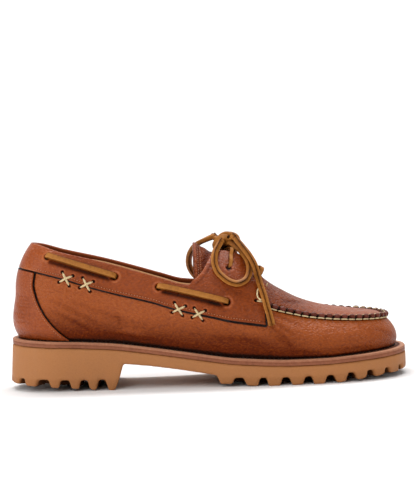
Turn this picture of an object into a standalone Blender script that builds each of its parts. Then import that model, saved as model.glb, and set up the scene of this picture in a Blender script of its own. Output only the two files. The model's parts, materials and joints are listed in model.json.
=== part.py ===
"""A man's right boat shoe: a hand-sewn moccasin upper on a leather midsole and a lugged gum outsole.

The frame is in metres. +X runs from heel to toe, -Y is the lateral (outer) side, +Y the medial side, and Z = 0
is the ground under the heel and the forefoot. Stations in the tables are millimetres from the heel back.
"""

import math
from collections import namedtuple

import bmesh
import bpy
import numpy as np

MM = 0.001

# Driving sizes
LENGTH = 301 * MM  # outsole, heel back to toe tip
GAP = 0.3 * MM  # between pieces that meet
LEATHER = 2.0 * MM  # wall of the upper
OVERLAY = 1.2 * MM  # wall of the collar band and the heel counter
MIDSOLE_THICKNESS = 4.3 * MM
MIDSOLE_ROUND = 1.2 * MM  # rounded top edge of the midsole
INSOLE_THICKNESS = 3.0 * MM
TONGUE_THICKNESS = 2.2 * MM
LACE_WIDTH = 4.2 * MM
LACE_THICKNESS = 2.2 * MM
CORD_DIAMETER = 4.0 * MM  # round equal of the rawhide lace in the bow

# Plan of the outsole and of the feather line, where the upper stands on the midsole
HEEL_ROUND = 38 * MM
TOE_ROUND = 62 * MM
HEEL_POWER = 2.0
TOE_POWER = 2.25
SIDE_FLARE = 1.2 * MM  # the outsole's side stands out this much more at the ground
HEEL_RAKE = 2.0 * MM  # the sole's back leans forward this much from the ground to its top
FEATHER_HEEL = 9.5 * MM
FEATHER_TOE = 293 * MM
LEDGE = 4.6 * MM  # midsole edge beyond the feather line
RIDGE_MIDDLE = 3 * MM  # the ridge of the last lies a little to the medial side

# Lugs
LUG_REACH = 17 * MM  # length of a perimeter lug, inwards from the side
CHANNEL = 4.5 * MM  # width of the channel behind the perimeter lugs
CHANNEL_EXTRA = 0.6 * MM  # the channel is cut this much deeper than the grooves
CROSS_GROOVE = 5 * MM  # width of the grooves across the field inside the channel
CROSS_GROOVES = (33, 57, 70.3, 180, 205.5, 230, 246.5, 262)  # their stations
MOUTH_DROP = 2 * MM  # cutters reach this far below the ground
MOUTH_REACH = 8 * MM  # and this far out of the sole's side
CHANNEL_END = 0.02 * MM  # the channel's path turns this near the heel back and the toe tip
CHANNEL_LEAD = 3 * MM  # the forefoot's channel starts this far behind its first lug
CHANNEL_STEPS = 8

# Stations of the main changes along the shoe
BREAST = 79 * MM  # front of the heel at the ground
WAIST_START = 86 * MM
FOREPART = 155 * MM  # rear face of the first forefoot lug, at its root
FOREPART_FOOT = 157.5 * MM  # and at the ground
THROAT_REAR = 138 * MM  # where the collar turns up into the flaps
THROAT_FRONT = 190 * MM
FLAP_FRONT = 192 * MM
SEAM_START = 186 * MM  # the moc seam shows from here to the toe
SEAM_FADE = 8 * MM  # the seam rises to its full height over this length
SEAM_RAISE = 1.7 * MM
SEAM_LEVEL = 1.14  # level of the last along which it runs
SEAM_SPREAD = 0.08  # and how many levels it is wide

LATERAL, MEDIAL = -1, 1
BAND_DROP = 0.7 * MM  # the band's inner top edge lies this much below the collar
BAND_ROWS = 8  # rows of quads up the collar band
COUNTER_ROWS = 7
COUNTER_CROWD = 1.5  # how much closer its rows lie at its foot, where the last swells out: 1 is even
COUNTER_STEPS = 10  # columns of the counter on each side
COUNTER_FOOT = 1.1 * MM  # height of the counter's foot over the feather line
SEAM_GAP = 0.45 * MM  # between the counter's top edge and the collar band
FLAP_CURL = 1.3  # how late the flap leaves the last: 1 is a straight slope
SIDE_LACE_STEPS = 8
COUNTER_SEAT = 0.3 * MM  # the counter stands this much more than the gap off the rounder heel
SEAT = 0.15 * MM  # an overlay or a flat lace stands this much more than the gap off a curved wall
CROSSING_STEPS = 16
CORD_SPACING = 8 * MM  # between the points of a cord's path
PATH_STEPS = 200
KNOT_LENGTH = 13.2 * MM  # of the cord's middle line in the knot, along the shoe
KNOT_HEIGHT = 10.0 * MM
KNOT_TURNS = 1.75
KNOT_STEPS = 12
LEVEL_STEP = 0.005  # finest step between levels of the last
SLOPE_STEP = 1e-4  # step round the shoe, or up its levels, over which a slope is taken
PLAN_STEP = 0.2 * MM  # the same along the outline's stations
RIDGE_STEP = 0.5 * MM  # and along the ridge
HAIR = 0.01 * MM  # stations closer than this are the same
SWELL_SCALE = 27 / 4  # brings the top of the swell up * (1 - up) ** 2 to 1
SOLE_STEPS = 40  # sections of the outsole and the midsole
INSOLE_STEPS = 30
RING_STEPS = 28  # columns of the upper from heel back to toe tip, on one side
RING_CLEARANCE = 2.6 * MM  # least distance of a column from one at a corner of a piece
SECTION_CLEARANCE = 0.3 * MM  # the same for the sections of the outsole
RING_CORNERS = (138, 147, 152, 156.5, 165, 174.5, 181, 186, 188.5, 190, 192)  # stations of those corners
WALL_LEVELS = (0, 0.06, 0.14, 0.3, 0.48, 0.66, 0.84, 1.0)  # rows of the upper, from feather line to shoulder
CROWN_SHARES = (0.09, 0.16, 0.25, 0.4, 0.58, 0.78, 1.0)  # and from the shoulder to its top edge
TONGUE_SECTIONS = (141.5, 144, 148, 153, 159, 166, 174, 182, 190, 198)  # stations of its cross-sections
TONGUE_STEPS = 6  # spans of the tongue from its edge to its middle
ARCH_POWER = 1.75  # roundness of the tongue's arch: 2 is an ellipse
MERGE = 0.005 * MM  # corners of a mesh closer than this are one
SLIVER = 0.002 * MM  # edges shorter than this are dissolved
SHARP_ANGLE = math.radians(35)  # edges sharper than this stay sharp under smooth shading

Plan = namedtuple("Plan", "station lateral medial middle")
OUTSOLE_PLAN = [
    Plan(0, 36.5, 36.5, 2),
    Plan(45, 37.5, 37.5, 1),
    Plan(78, 38.5, 36.5, 1),
    Plan(105, 41.5, 34.0, 1),
    Plan(130, 45.0, 33.5, 1),
    Plan(155, 49.0, 38.0, 1),
    Plan(180, 52.5, 45.5, 1),
    Plan(205, 54.3, 50.8, 1),
    Plan(225, 54.5, 52.5, 1),
    Plan(245, 54.0, 52.0, 2),
    Plan(265, 53.5, 50.0, 3),
    Plan(301, 53.0, 48.0, 5),
]

Side = namedtuple("Side", "station gum_top ground root")
OUTSOLE_SIDE = [
    Side(0, 34.4, 5.5, 10.0),
    Side(17, 33.6, 4.5, 9.8),
    Side(35, 32.6, 3.3, 9.2),
    Side(50, 31.9, 2.1, 8.6),
    Side(63, 31.0, 1.0, 8.2),
    Side(72, 30.3, 0.0, 8.0),
    Side(79, 29.7, 0.0, 7.8),
    Side(106, 26.0, 1.0, 7.6),
    Side(135, 21.4, 2.4, 7.6),
    Side(157.5, 17.8, 2.8, 7.3),
    Side(166, 16.6, 2.2, 7.0),
    Side(180, 15.5, 0.7, 6.6),
    Side(190, 14.7, 0.0, 6.3),
    Side(212, 13.8, 0.0, 6.0),
    Side(236, 13.9, 0.0, 6.1),
    Side(254, 14.7, 1.4, 7.1),
    Side(270, 15.5, 2.6, 8.0),
    Side(285, 16.2, 3.6, 8.1),
    Side(301, 17.0, 4.3, 8.3),
]

# The underside between the heel and the forefoot: up the breast, along the waist and down the first lug
Waist = namedtuple("Waist", "station height")
WAIST_LINE = [
    Waist(79, 0.0),
    Waist(82.5, 8.0),
    Waist(86, 19.3),
    Waist(106, 17.2),
    Waist(128, 13.9),
    Waist(155, 9.1),
    Waist(157.5, 2.8),
]

# The gaps between the perimeter lugs, at the root and at the ground
Groove = namedtuple("Groove", "station root_width mouth_width")
HEEL_GROOVES = [
    Groove(0.9, 3.0, 4.4),
    Groove(9.3, 6.2, 10.2),
    Groove(26, 8.8, 12.6),
    Groove(42.4, 6.8, 9.8),
    Groove(56.6, 5.6, 8.6),
    Groove(69.9, 5.6, 9.8),
]
FOREFOOT_GROOVES = [
    Groove(170.8, 6.8, 11.2),
    Groove(188.5, 5.0, 8.4),
    Groove(205.3, 5.2, 9.4),
    Groove(221.8, 5.0, 9.0),
    Groove(238.3, 5.4, 9.8),
    Groove(253.9, 5.4, 9.2),
    Groove(268.8, 5.2, 8.4),
    Groove(282.4, 4.8, 7.8),
    Groove(293.8, 4.8, 7.6),
    Groove(301, 4.4, 7.4),
]

# The last's side, column by column. "in" columns are distances inwards from the feather line to the shoulder,
# where the wall turns into the crown: under the moc seam in front, and hidden in the quarters behind.
Last = namedtuple(
    "Last", "station shoulder medial_raise lateral_in medial_in lateral_bulge medial_bulge turn crown"
)
LAST_SIDE = [
    Last(9.5, 75.0, 0.0, -2.0, -2.0, 4.2, 4.2, 0.0, 1.8),
    Last(30, 74.0, 0.0, -1.3, -1.5, 2.6, 2.6, 0.0, 2.0),
    Last(60, 68.0, 0.0, -1.8, -2.8, 2.2, 2.0, 0.0, 2.0),
    Last(100, 63.0, 0.0, -2.0, -6.3, 2.0, 1.6, 0.0, 1.8),
    Last(130, 61.0, 0.5, -1.0, -6.8, 2.0, 1.4, 0.1, 1.55),
    Last(160, 60.5, 1.0, 2.0, -3.0, 2.0, 1.5, 0.4, 1.5),
    Last(187, 59.3, 1.5, 7.0, 4.0, 2.2, 2.0, 0.8, 1.5),
    Last(198, 54.7, 1.6, 8.5, 6.8, 2.4, 2.2, 1.0, 1.5),
    Last(211, 51.0, 1.8, 9.0, 8.4, 2.6, 2.4, 1.0, 1.5),
    Last(226, 47.6, 2.0, 9.0, 9.0, 2.6, 2.4, 1.0, 1.55),
    Last(249, 44.8, 1.8, 8.7, 9.0, 2.6, 2.4, 1.0, 1.65),
    Last(266, 43.7, 1.2, 7.6, 8.0, 2.4, 2.4, 1.0, 1.9),
    Last(285, 42.9, 0.3, 6.2, 6.2, 2.1, 2.1, 1.0, 2.2),
    Last(293, 42.4, 0.0, 5.8, 5.8, 2.0, 2.0, 1.0, 2.3),
]

# The spine station that each column of the last runs to: columns fan out round the heel and the toe.
Spine = namedtuple("Spine", "station spine")
SPINE_FAN = [
    Spine(9.5, 38),
    Spine(40, 51),
    Spine(78, 78),
    Spine(110, 110),
    Spine(205, 205),
    Spine(235, 235),
    Spine(265, 253),
    Spine(293, 268),
]

Ridge = namedtuple("Ridge", "station height")
RIDGE_LINE = [
    Ridge(38, 119.0),
    Ridge(75, 114.5),
    Ridge(100, 110.0),
    Ridge(130, 104.5),
    Ridge(150, 102.5),
    Ridge(160, 101.0),
    Ridge(168, 98.0),
    Ridge(175, 93.5),
    Ridge(182, 87.5),
    Ridge(190, 80.0),
    Ridge(200, 71.6),
    Ridge(207, 67.2),
    Ridge(222, 59.3),
    Ridge(237.5, 54.2),
    Ridge(253, 50.6),
    Ridge(268, 47.6),
]

Edge = namedtuple("Edge", "station height")
TOP_LINE = [
    Edge(9.5, 110.0),
    Edge(20, 108.2),
    Edge(40, 103.0),
    Edge(70, 95.7),
    Edge(97, 87.6),
    Edge(116, 81.5),
    Edge(134, 76.2),
    Edge(150, 75.0),
    Edge(165, 75.5),
    Edge(178, 76.6),
    Edge(186, 77.0),
    Edge(188.5, 78.0),
    Edge(190, 80.0),
]
BAND_SEAM = [
    Edge(9.5, 91.6),
    Edge(20, 89.8),
    Edge(41, 84.6),
    Edge(64, 76.8),
    Edge(84, 70.9),
    Edge(109, 64.5),
    Edge(125, 59.2),
    Edge(139, 55.4),
    Edge(155, 51.5),
    Edge(165, 48.9),
    Edge(192, 44.4),
]

# The flap's top edge: its distance from the ridge, and how far the flap stands off the last there.
Flap = namedtuple("Flap", "station from_ridge stand_off")
FLAP_EDGE = [
    Flap(138, 38.0, 0.0),
    Flap(147, 32.5, 0.8),
    Flap(152, 25.0, 1.6),
    Flap(156.5, 17.0, 2.8),
    Flap(165, 15.5, 4.6),
    Flap(174.5, 16.5, 6.4),
    Flap(181, 19.0, 6.4),
    Flap(188, 25.5, 5.6),
    Flap(192, 34.0, 4.4),
]

# The counter's front edge, from its foot (share 0) to the collar band (share 1)
Counter = namedtuple("Counter", "share station")
COUNTER_EDGE = [
    Counter(0, 47),
    Counter(0.11, 41),
    Counter(0.23, 35.5),
    Counter(0.43, 28.5),
    Counter(0.62, 24),
    Counter(0.81, 22),
    Counter(1, 22.5),
]

SideLace = namedtuple("SideLace", "rear rear_height front front_height")
SIDE_LACES = {
    "rear": SideLace(31, 99.9, 83.1, 83.4),
    "front": SideLace(113.6, 75.1, 165.3, 62.1),
}

# The crossings between the flaps: stations of the eyelet, of the flap's edge and of the middle
Bar = namedtuple("Bar", "name eyelet eyelet_share edge edge_lift middle middle_height")
CROSSINGS = [
    Bar("lace_crossing_top", 166, 0.76, 165.5, 0.8, 165, 97.0),
    Bar("lace_crossing_lower", 184.5, 0.8, 186, 2.0, 190.5, 82.4),
]

Point = namedtuple("Point", "station y z")
KNOT = Point(166, -1, 107)
BOW = {
    "lace_loop_lateral": [
        Point(162.3, -10.5, 104.6),
        Point(158.0, -21.3, 98.4),
        Point(156.8, -29.8, 91.4),
        Point(158.6, -35.8, 84.9),
        Point(162.5, -39.2, 80.5),
        Point(167.4, -41.3, 77.0),
        Point(173.3, -41.6, 75.6),
        Point(179.7, -39.0, 78.3),
        Point(182.7, -31.8, 84.4),
        Point(182.0, -25.6, 91.0),
        Point(179.0, -18.4, 96.2),
        Point(175.4, -13.0, 100.4),
        Point(171.6, -9.2, 103.2),
    ],
    "lace_loop_medial": [
        Point(157.0, 6.0, 108.6),
        Point(151.5, 12.0, 106.2),
        Point(146.0, 19.0, 103.2),
        Point(141.8, 27.0, 98.8),
        Point(139.0, 33.5, 92.0),
        Point(139.4, 38.5, 84.0),
        Point(144.2, 41.5, 76.5),
        Point(153.0, 42.8, 73.0),
        Point(163.0, 41.8, 74.5),
        Point(170.5, 38.5, 80.5),
        Point(173.5, 32.0, 88.5),
        Point(174.2, 25.0, 97.2),
        Point(171.8, 14.8, 103.6),
        Point(168.5, 9.0, 106.2),
    ],
    "lace_end_lateral": [
        Point(173.6, -11.6, 108.0),
        Point(178.4, -21.4, 101.6),
        Point(183.1, -28.0, 94.9),
        Point(186.5, -33.2, 87.8),
        Point(188.4, -34.8, 80.1),
        Point(189.9, -39.0, 73.4),
        Point(191.9, -43.8, 66.2),
        Point(193.4, -46.9, 59.0),
        Point(195.2, -48.6, 51.7),
        Point(196.5, -52.0, 44.7),
    ],
    "lace_end_medial": [
        Point(174.2, 6.8, 106.0),
        Point(178.4, 15.5, 100.0),
        Point(183.2, 26.5, 92.6),
        Point(187.7, 36.8, 84.7),
        Point(189.6, 41.0, 75.0),
        Point(191.5, 44.5, 66.5),
        Point(194.0, 47.5, 58.0),
        Point(196.0, 50.5, 50.0),
    ],
}

# The tongue: how low its edges reach, and how far its edges and middle lie outside (+) or inside (-) the last
Leaf = namedtuple("Leaf", "station side_level side_lift middle_lift")
TONGUE_LEAF = [
    Leaf(141.5, 1.34, -6.2, 2.2),
    Leaf(144, 1.24, -6.6, 1.6),
    Leaf(148, 1.2, -6.8, -0.8),
    Leaf(157, 1.2, -6.4, -4.2),
    Leaf(170, 1.22, -6.2, -4.9),
    Leaf(185, 1.3, -6.4, -4.6),
    Leaf(198, 1.42, -6.2, -3.0),
]

Finish = namedtuple("Finish", "color roughness")
FINISHES = {
    "tan_leather": Finish((0.31, 0.095, 0.032), 0.42),
    "rawhide": Finish((0.42, 0.20, 0.055), 0.6),
    "gum_rubber": Finish((0.42, 0.22, 0.09), 0.62),
    "midsole_leather": Finish((0.33, 0.15, 0.08), 0.6),
    "lining_leather": Finish((0.45, 0.27, 0.12), 0.6),
}


def clear_scene():
    for obj in list(bpy.data.objects):
        bpy.data.objects.remove(obj, do_unlink=True)


def material(slot):
    """One material for each finish."""
    found = bpy.data.materials.get(slot)
    if found:
        return found
    finish = FINISHES[slot]
    made = bpy.data.materials.new(slot)
    made.use_nodes = True
    shader = made.node_tree.nodes["Principled BSDF"]
    shader.inputs["Base Color"].default_value = (*finish.color, 1.0)
    shader.inputs["Roughness"].default_value = finish.roughness
    shader.inputs["Metallic"].default_value = 0.0
    return made


def read(table, column, at, key="station", unit=MM):
    """A column of a table at the places in `at`, on a smooth curve that never overshoots its rows."""
    places = np.array([getattr(row, key) for row in table], float)
    values = np.array([getattr(row, column) for row in table], float)
    at = np.clip(np.asarray(at, float) / unit, places[0], places[-1])
    steps = np.diff(places)
    rises = np.diff(values) / steps
    slopes = np.zeros_like(values)
    same_way = rises[:-1] * rises[1:] > 0
    before, after = 2 * steps[1:] + steps[:-1], steps[1:] + 2 * steps[:-1]
    left = np.where(same_way, rises[:-1], 1.0)
    right = np.where(same_way, rises[1:], 1.0)
    slopes[1:-1] = np.where(same_way, (before + after) / (before / left + after / right), 0.0)
    slopes[0], slopes[-1] = rises[0], rises[-1]
    i = np.clip(np.searchsorted(places, at, side="right") - 1, 0, len(steps) - 1)
    step = steps[i]
    s = (at - places[i]) / step
    return (
        values[i] * (1 + 2 * s) * (1 - s) ** 2
        + slopes[i] * step * s * (1 - s) ** 2
        + values[i + 1] * s**2 * (3 - 2 * s)
        + slopes[i + 1] * step * s**2 * (s - 1)
    )


def length(table, column, at, key="station", unit=MM):
    """The same in metres, for a column given in millimetres."""
    return read(table, column, at, key, unit) * MM


def place(station, y, z):
    """Points of the frame from stations, with the origin under the middle of the outsole."""
    return np.stack(np.broadcast_arrays(station - LENGTH / 2, y, z), axis=-1)


# Plan and sole


def end_round(distance, reach, power):
    share = np.clip(1 - distance / reach, 0, 1)
    return (1 - share**power) ** (1 / power)


def plan_y(station, side, heel=0.0, toe=LENGTH, ledge=0.0):
    """Y of the plan outline at a station: the outsole's, or a line that lies `ledge` inside it."""
    side = np.asarray(side)
    width = np.where(
        side < 0, length(OUTSOLE_PLAN, "lateral", station), length(OUTSOLE_PLAN, "medial", station)
    )
    ends = end_round(station - heel, HEEL_ROUND, HEEL_POWER) * end_round(toe - station, TOE_ROUND, TOE_POWER)
    return length(OUTSOLE_PLAN, "middle", station) + side * (width - ledge) * ends


def rounded_stations(count, start=0.0, end=LENGTH):
    """Stations that lie closer together towards both ends, where the plan turns round."""
    return start + (end - start) * (1 - np.cos(np.linspace(0, math.pi, count + 1))) / 2


def stations_with(kept, clearance, count, start=0.0, end=LENGTH):
    """Rounded stations with the kept ones, in millimetres, in place of those that lie too close to them."""
    kept = [station * MM for station in kept]
    spaced = [s for s in rounded_stations(count, start, end) if all(abs(s - k) > clearance for k in kept)]
    return np.array(sorted([*spaced, *kept]))


def gum_top(station):
    return length(OUTSOLE_SIDE, "gum_top", station)


def midsole_top(station):
    return gum_top(station) + GAP + MIDSOLE_THICKNESS


def side_point(station, side, inwards, z):
    """A point `inwards` from the outsole's outline, square to it in plan."""
    near_end = np.clip(station, PLAN_STEP, LENGTH - PLAN_STEP)
    slope = (plan_y(near_end + PLAN_STEP, side) - plan_y(near_end - PLAN_STEP, side)) / (2 * PLAN_STEP)
    inward = np.array([slope * side, -side * 1.0])
    inward /= np.hypot(*inward)
    if station <= PLAN_STEP:
        inward = np.array([1.0, 0.0])
    if station >= LENGTH - PLAN_STEP:
        inward = np.array([-1.0, 0.0])
    x = station + inward[0] * inwards
    y = plan_y(station, side) + inward[1] * inwards
    return np.array([x - LENGTH / 2, y, z]), inward


# Meshes


def finish_object(name, mesh, slot):
    """An object of one closed, outward mesh."""
    bmesh.ops.remove_doubles(mesh, verts=mesh.verts, dist=MERGE)
    bmesh.ops.dissolve_degenerate(mesh, edges=mesh.edges, dist=SLIVER)
    bmesh.ops.recalc_face_normals(mesh, faces=mesh.faces)
    data = bpy.data.meshes.new(name)
    mesh.to_mesh(data)
    mesh.free()
    data.materials.append(material(slot))
    data.shade_smooth()
    data.set_sharp_from_angle(angle=SHARP_ANGLE)
    obj = bpy.data.objects.new(name, data)
    bpy.context.scene.collection.objects.link(obj)
    return obj


def add_grid(mesh, points, closed=False):
    """Quads over a grid of points (rows, columns, 3). Returns its rows of vertices."""
    rows = [[mesh.verts.new(p) for p in row] for row in points]
    columns = len(rows[0])
    for low, high in zip(rows, rows[1:]):
        for i in range(columns if closed else columns - 1):
            j = (i + 1) % columns
            mesh.faces.new((low[i], low[j], high[j], high[i]))
    return rows


def join_edges(mesh, first, second, closed=False, keep=None):
    """Quads between two rows of vertices of the same length, over the spans that `keep` allows."""
    count = len(first) if closed else len(first) - 1
    for i in range(count):
        j = (i + 1) % len(first)
        if keep is None or keep(i, j):
            mesh.faces.new((first[i], second[i], second[j], first[j]))


def shell(name, outer, inner, slot, closed=False, top_open=None):
    """A wall between an outer and an inner grid. `top_open` says which spans of the last row are an edge."""
    mesh = bmesh.new()
    out_rows = add_grid(mesh, outer, closed)
    in_rows = add_grid(mesh, inner, closed)
    join_edges(mesh, out_rows[0], in_rows[0], closed)
    join_edges(mesh, out_rows[-1], in_rows[-1], closed, top_open)
    if not closed:
        join_edges(mesh, [row[0] for row in out_rows], [row[0] for row in in_rows])
        join_edges(mesh, [row[-1] for row in out_rows], [row[-1] for row in in_rows])
    return finish_object(name, mesh, slot)


def loft(name, rings, slot):
    """A solid through closed rings of points, with its two ends capped."""
    mesh = bmesh.new()
    rows = add_grid(mesh, rings, closed=True)
    mesh.faces.new(rows[0])
    mesh.faces.new(rows[-1])
    return finish_object(name, mesh, slot)


def cutter(name, rings_list):
    """Hidden prisms that a Boolean takes away, each through closed rings of points."""
    mesh = bmesh.new()
    for rings in rings_list:
        rows = add_grid(mesh, rings, closed=True)
        mesh.faces.new(rows[0])
        mesh.faces.new(rows[-1])
    obj = finish_object(name, mesh, "gum_rubber")
    obj.hide_render = True
    obj.display_type = "WIRE"
    return obj


def cut(obj, tool):
    modifier = obj.modifiers.new(tool.name, "BOOLEAN")
    modifier.operation = "DIFFERENCE"
    modifier.solver = "EXACT"
    modifier.use_self = True
    modifier.object = tool


# Outsole


def underside(station):
    """Height of the outsole's underside before the lugs are cut: the heel, the waist and the forefoot."""
    ground = length(OUTSOLE_SIDE, "ground", station)
    stations, heights = zip(*WAIST_LINE)
    waist = np.interp(station / MM, stations, heights) * MM
    return np.where((station > BREAST) & (station < FOREPART_FOOT), waist, ground)


def outsole_sections():
    """Stations of the outsole's sections, with the corners of its underside and the ends of its flats."""
    corners = {row.station for row in WAIST_LINE}
    flats = {row.station for row in OUTSOLE_SIDE if row.ground == 0}
    return stations_with(corners | flats, SECTION_CLEARANCE, SOLE_STEPS)


def roundness(station):
    """How full the plan is at a station: 1 between the rounded ends, 0 at the heel back and the toe tip."""
    return end_round(station, HEEL_ROUND, HEEL_POWER) * end_round(LENGTH - station, TOE_ROUND, TOE_POWER)


def raked(station, height):
    """The station that a section of the sole's back leans forward to at a height."""
    low, high = length(OUTSOLE_SIDE, "ground", 0), gum_top(0)
    up = np.clip((height - low) / (high - low), 0, 1)
    return station + HEEL_RAKE * np.clip(1 - station / HEEL_ROUND, 0, 1) * up


def outsole_rings():
    stations = outsole_sections()
    rings = []
    for station, low in zip(stations, underside(stations)):
        high = gum_top(station)
        flare = SIDE_FLARE * (high - low) / gum_top(0) * roundness(station)
        ring = [
            (plan_y(station, LATERAL), high),
            (plan_y(station, LATERAL) - flare, low),
            (plan_y(station, MEDIAL) + flare, low),
            (plan_y(station, MEDIAL), high),
        ]
        rings.append([place(raked(station, z), y, z) for y, z in ring])
    return rings


def groove_prism(groove, side):
    """A trapezoid prism across one perimeter lug gap, from outside the side to the channel."""
    station = groove.station * MM
    root = length(OUTSOLE_SIDE, "root", station)
    depth = root - length(OUTSOLE_SIDE, "ground", station)
    start, inward = side_point(station, side, -MOUTH_REACH, 0)
    end, _ = side_point(station, side, LUG_REACH + CHANNEL / 2, 0)
    along = np.array([inward[1], -inward[0], 0])
    flank = (groove.mouth_width - groove.root_width) * MM / depth
    half_root = groove.root_width * MM / 2
    half_low = half_root + flank * (root + MOUTH_DROP) / 2
    corners = [(-half_low, -MOUTH_DROP), (half_low, -MOUTH_DROP), (half_root, root), (-half_root, root)]
    return [[base + along * w + np.array([0, 0, h]) for w, h in corners] for base in (start, end)]


def channel_rings(stations, edges):
    """Sections of the channel behind the perimeter lugs, along the outline through the given places."""
    rings = []
    for station, side in zip(stations, edges):
        root = length(OUTSOLE_SIDE, "root", station) + CHANNEL_EXTRA
        near, _ = side_point(station, side, LUG_REACH, 0)
        far, _ = side_point(station, side, LUG_REACH + CHANNEL, 0)
        drop, rise = np.array([0, 0, -MOUTH_DROP]), np.array([0, 0, root])
        rings.append([near + drop, far + drop, far + rise, near + rise])
    return rings


def channel(first, last):
    """The channel from one end of a lugged field, round the heel or the toe, and back on the other side."""
    stations = first + (last - first) * np.sin(np.linspace(0, math.pi / 2, CHANNEL_STEPS + 1))
    there = [LATERAL] * len(stations)
    back = [MEDIAL] * (len(stations) - 1)
    return channel_rings(np.concatenate([stations, stations[-2::-1]]), there + back)


def cross_groove(station):
    """A straight groove across the field inside the channel."""
    station = station * MM
    root = length(OUTSOLE_SIDE, "root", station)
    middle = length(OUTSOLE_PLAN, "middle", station)
    reach = float(plan_y(station, MEDIAL) - middle) - LUG_REACH - CHANNEL / 2
    outline = [(-1, -MOUTH_DROP), (1, -MOUTH_DROP), (1, root), (-1, root)]
    return [
        [place(station + along * CROSS_GROOVE / 2, middle + y, z) for along, z in outline]
        for y in (-reach, reach)
    ]


def build_outsole():
    """The gum unit: lofted body, then grooves round the edge, then the channels behind the lugs."""
    body = loft("outsole", outsole_rings(), "gum_rubber")
    prisms = []
    for groove in HEEL_GROOVES + FOREFOOT_GROOVES:
        prisms.append(groove_prism(groove, LATERAL))
        if groove.station * MM < LENGTH:
            prisms.append(groove_prism(groove, MEDIAL))
    cut(body, cutter("lug_grooves", prisms))
    fields = [channel(WAIST_START, CHANNEL_END), channel(FOREPART - CHANNEL_LEAD, LENGTH - CHANNEL_END)]
    cut(body, cutter("channels", fields))
    cut(body, cutter("cross_grooves", [cross_groove(station) for station in CROSS_GROOVES]))
    return body


# The last


def ring_station(ring):
    """Feather station at a place round the shoe: 0 is the heel back, -1 and 1 are the toe tip."""
    around = np.abs(ring)
    return FEATHER_HEEL + (FEATHER_TOE - FEATHER_HEEL) * (1 - np.cos(math.pi * around)) / 2


def ring_place(station, side):
    """Place round the shoe of a feather station on one side."""
    share = (station - FEATHER_HEEL) / (FEATHER_TOE - FEATHER_HEEL)
    return side * np.arccos(np.clip(1 - 2 * share, -1, 1)) / math.pi


def last_point(ring, level):
    """A point of the last. Level is 0 at the feather line, 1 at the shoulder and 2 at the ridge."""
    ring, level = np.broadcast_arrays(np.asarray(ring, float), np.asarray(level, float))
    ring = (ring + 1) % 2 - 1
    station = ring_station(ring)
    lateral = ring < 0
    side = np.where(lateral, LATERAL, MEDIAL)
    foot = place(station, plan_y(station, side, FEATHER_HEEL, FEATHER_TOE, LEDGE), midsole_top(station) + GAP)
    spine = length(SPINE_FAN, "spine", station)
    ridge = place(spine, RIDGE_MIDDLE, length(RIDGE_LINE, "height", spine))
    across = (ridge - foot)[..., :2]
    reach = np.linalg.norm(across, axis=-1)
    inward = across / reach[..., None]
    both = [length(LAST_SIDE, column, station) for column in ("lateral_in", "medial_in")]
    shoulder_in = np.where(lateral, *both)
    both = [length(LAST_SIDE, column, station) for column in ("lateral_bulge", "medial_bulge")]
    bulge = np.where(lateral, *both)
    raised = np.where(lateral, 0.0, length(LAST_SIDE, "medial_raise", station))
    shoulder = length(LAST_SIDE, "shoulder", station) + raised
    turn = read(LAST_SIDE, "turn", station)
    crown = read(LAST_SIDE, "crown", station)
    up = np.clip(level, 0, 1)
    swell = SWELL_SCALE * up * (1 - up) ** 2
    lean = (1 - turn) * up**2 * (3 - 2 * up) + turn * up**4
    over = 1 - np.cos(np.clip(level - 1, 0, 1) * math.pi / 2)
    rise = (1 - (1 - over) ** crown) ** (1 / crown)
    inwards = shoulder_in * lean - bulge * swell + (reach - shoulder_in) * over
    height = foot[..., 2] * (1 - up) + shoulder * up + (ridge[..., 2] - shoulder) * rise
    return np.concatenate([foot[..., :2] + inward * inwards[..., None], height[..., None]], axis=-1)


def ridge_normal(ring):
    """Upwards across the ridge line, where the two sides of the last meet."""
    spine = length(SPINE_FAN, "spine", ring_station((ring + 1) % 2 - 1))
    rear, front = (length(RIDGE_LINE, "height", spine + step) for step in (-RIDGE_STEP, RIDGE_STEP))
    climb = front - rear
    return np.stack([-climb, np.zeros_like(climb), np.full_like(climb, 2 * RIDGE_STEP)], axis=-1)


def seam_raise(ring, level):
    """How far the apron's sewn edge stands up along the moc seam."""
    station = ring_station((np.asarray(ring) + 1) % 2 - 1)
    shown = np.clip((station - SEAM_START) / SEAM_FADE, 0, 1)
    return SEAM_RAISE * shown * np.exp(-(((level - SEAM_LEVEL) / SEAM_SPREAD) ** 2))


def skin(ring, level, lift=0.0):
    """A point `lift` outside the upper's surface."""
    ring, level, lift = np.broadcast_arrays(
        np.asarray(ring, float), np.asarray(level, float), np.asarray(lift, float)
    )
    step = SLOPE_STEP
    along = last_point(ring + step, level) - last_point(ring - step, level)
    upward = last_point(ring, np.minimum(level + step, 2)) - last_point(ring, np.maximum(level - step, 0))
    outward = np.cross(upward, along)
    outward = np.where((level > 2 - step)[..., None], ridge_normal(ring), outward)
    outward /= np.linalg.norm(outward, axis=-1)[..., None]
    return last_point(ring, level) + outward * (lift + seam_raise(ring, level))[..., None]


def level_at(ring, height):
    """The level at which one column of the last reaches a height."""
    levels = np.linspace(0, 2, round(2 / LEVEL_STEP) + 1)
    return float(np.interp(height, last_point(ring, levels)[:, 2], levels))


def top_level(ring):
    """Level of the upper's own top edge: the collar, the throat, or the ridge in front of the throat."""
    station = float(ring_station(ring))
    if station >= THROAT_FRONT - HAIR:
        return 2.0
    return level_at(ring, float(length(TOP_LINE, "height", station)))


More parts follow.
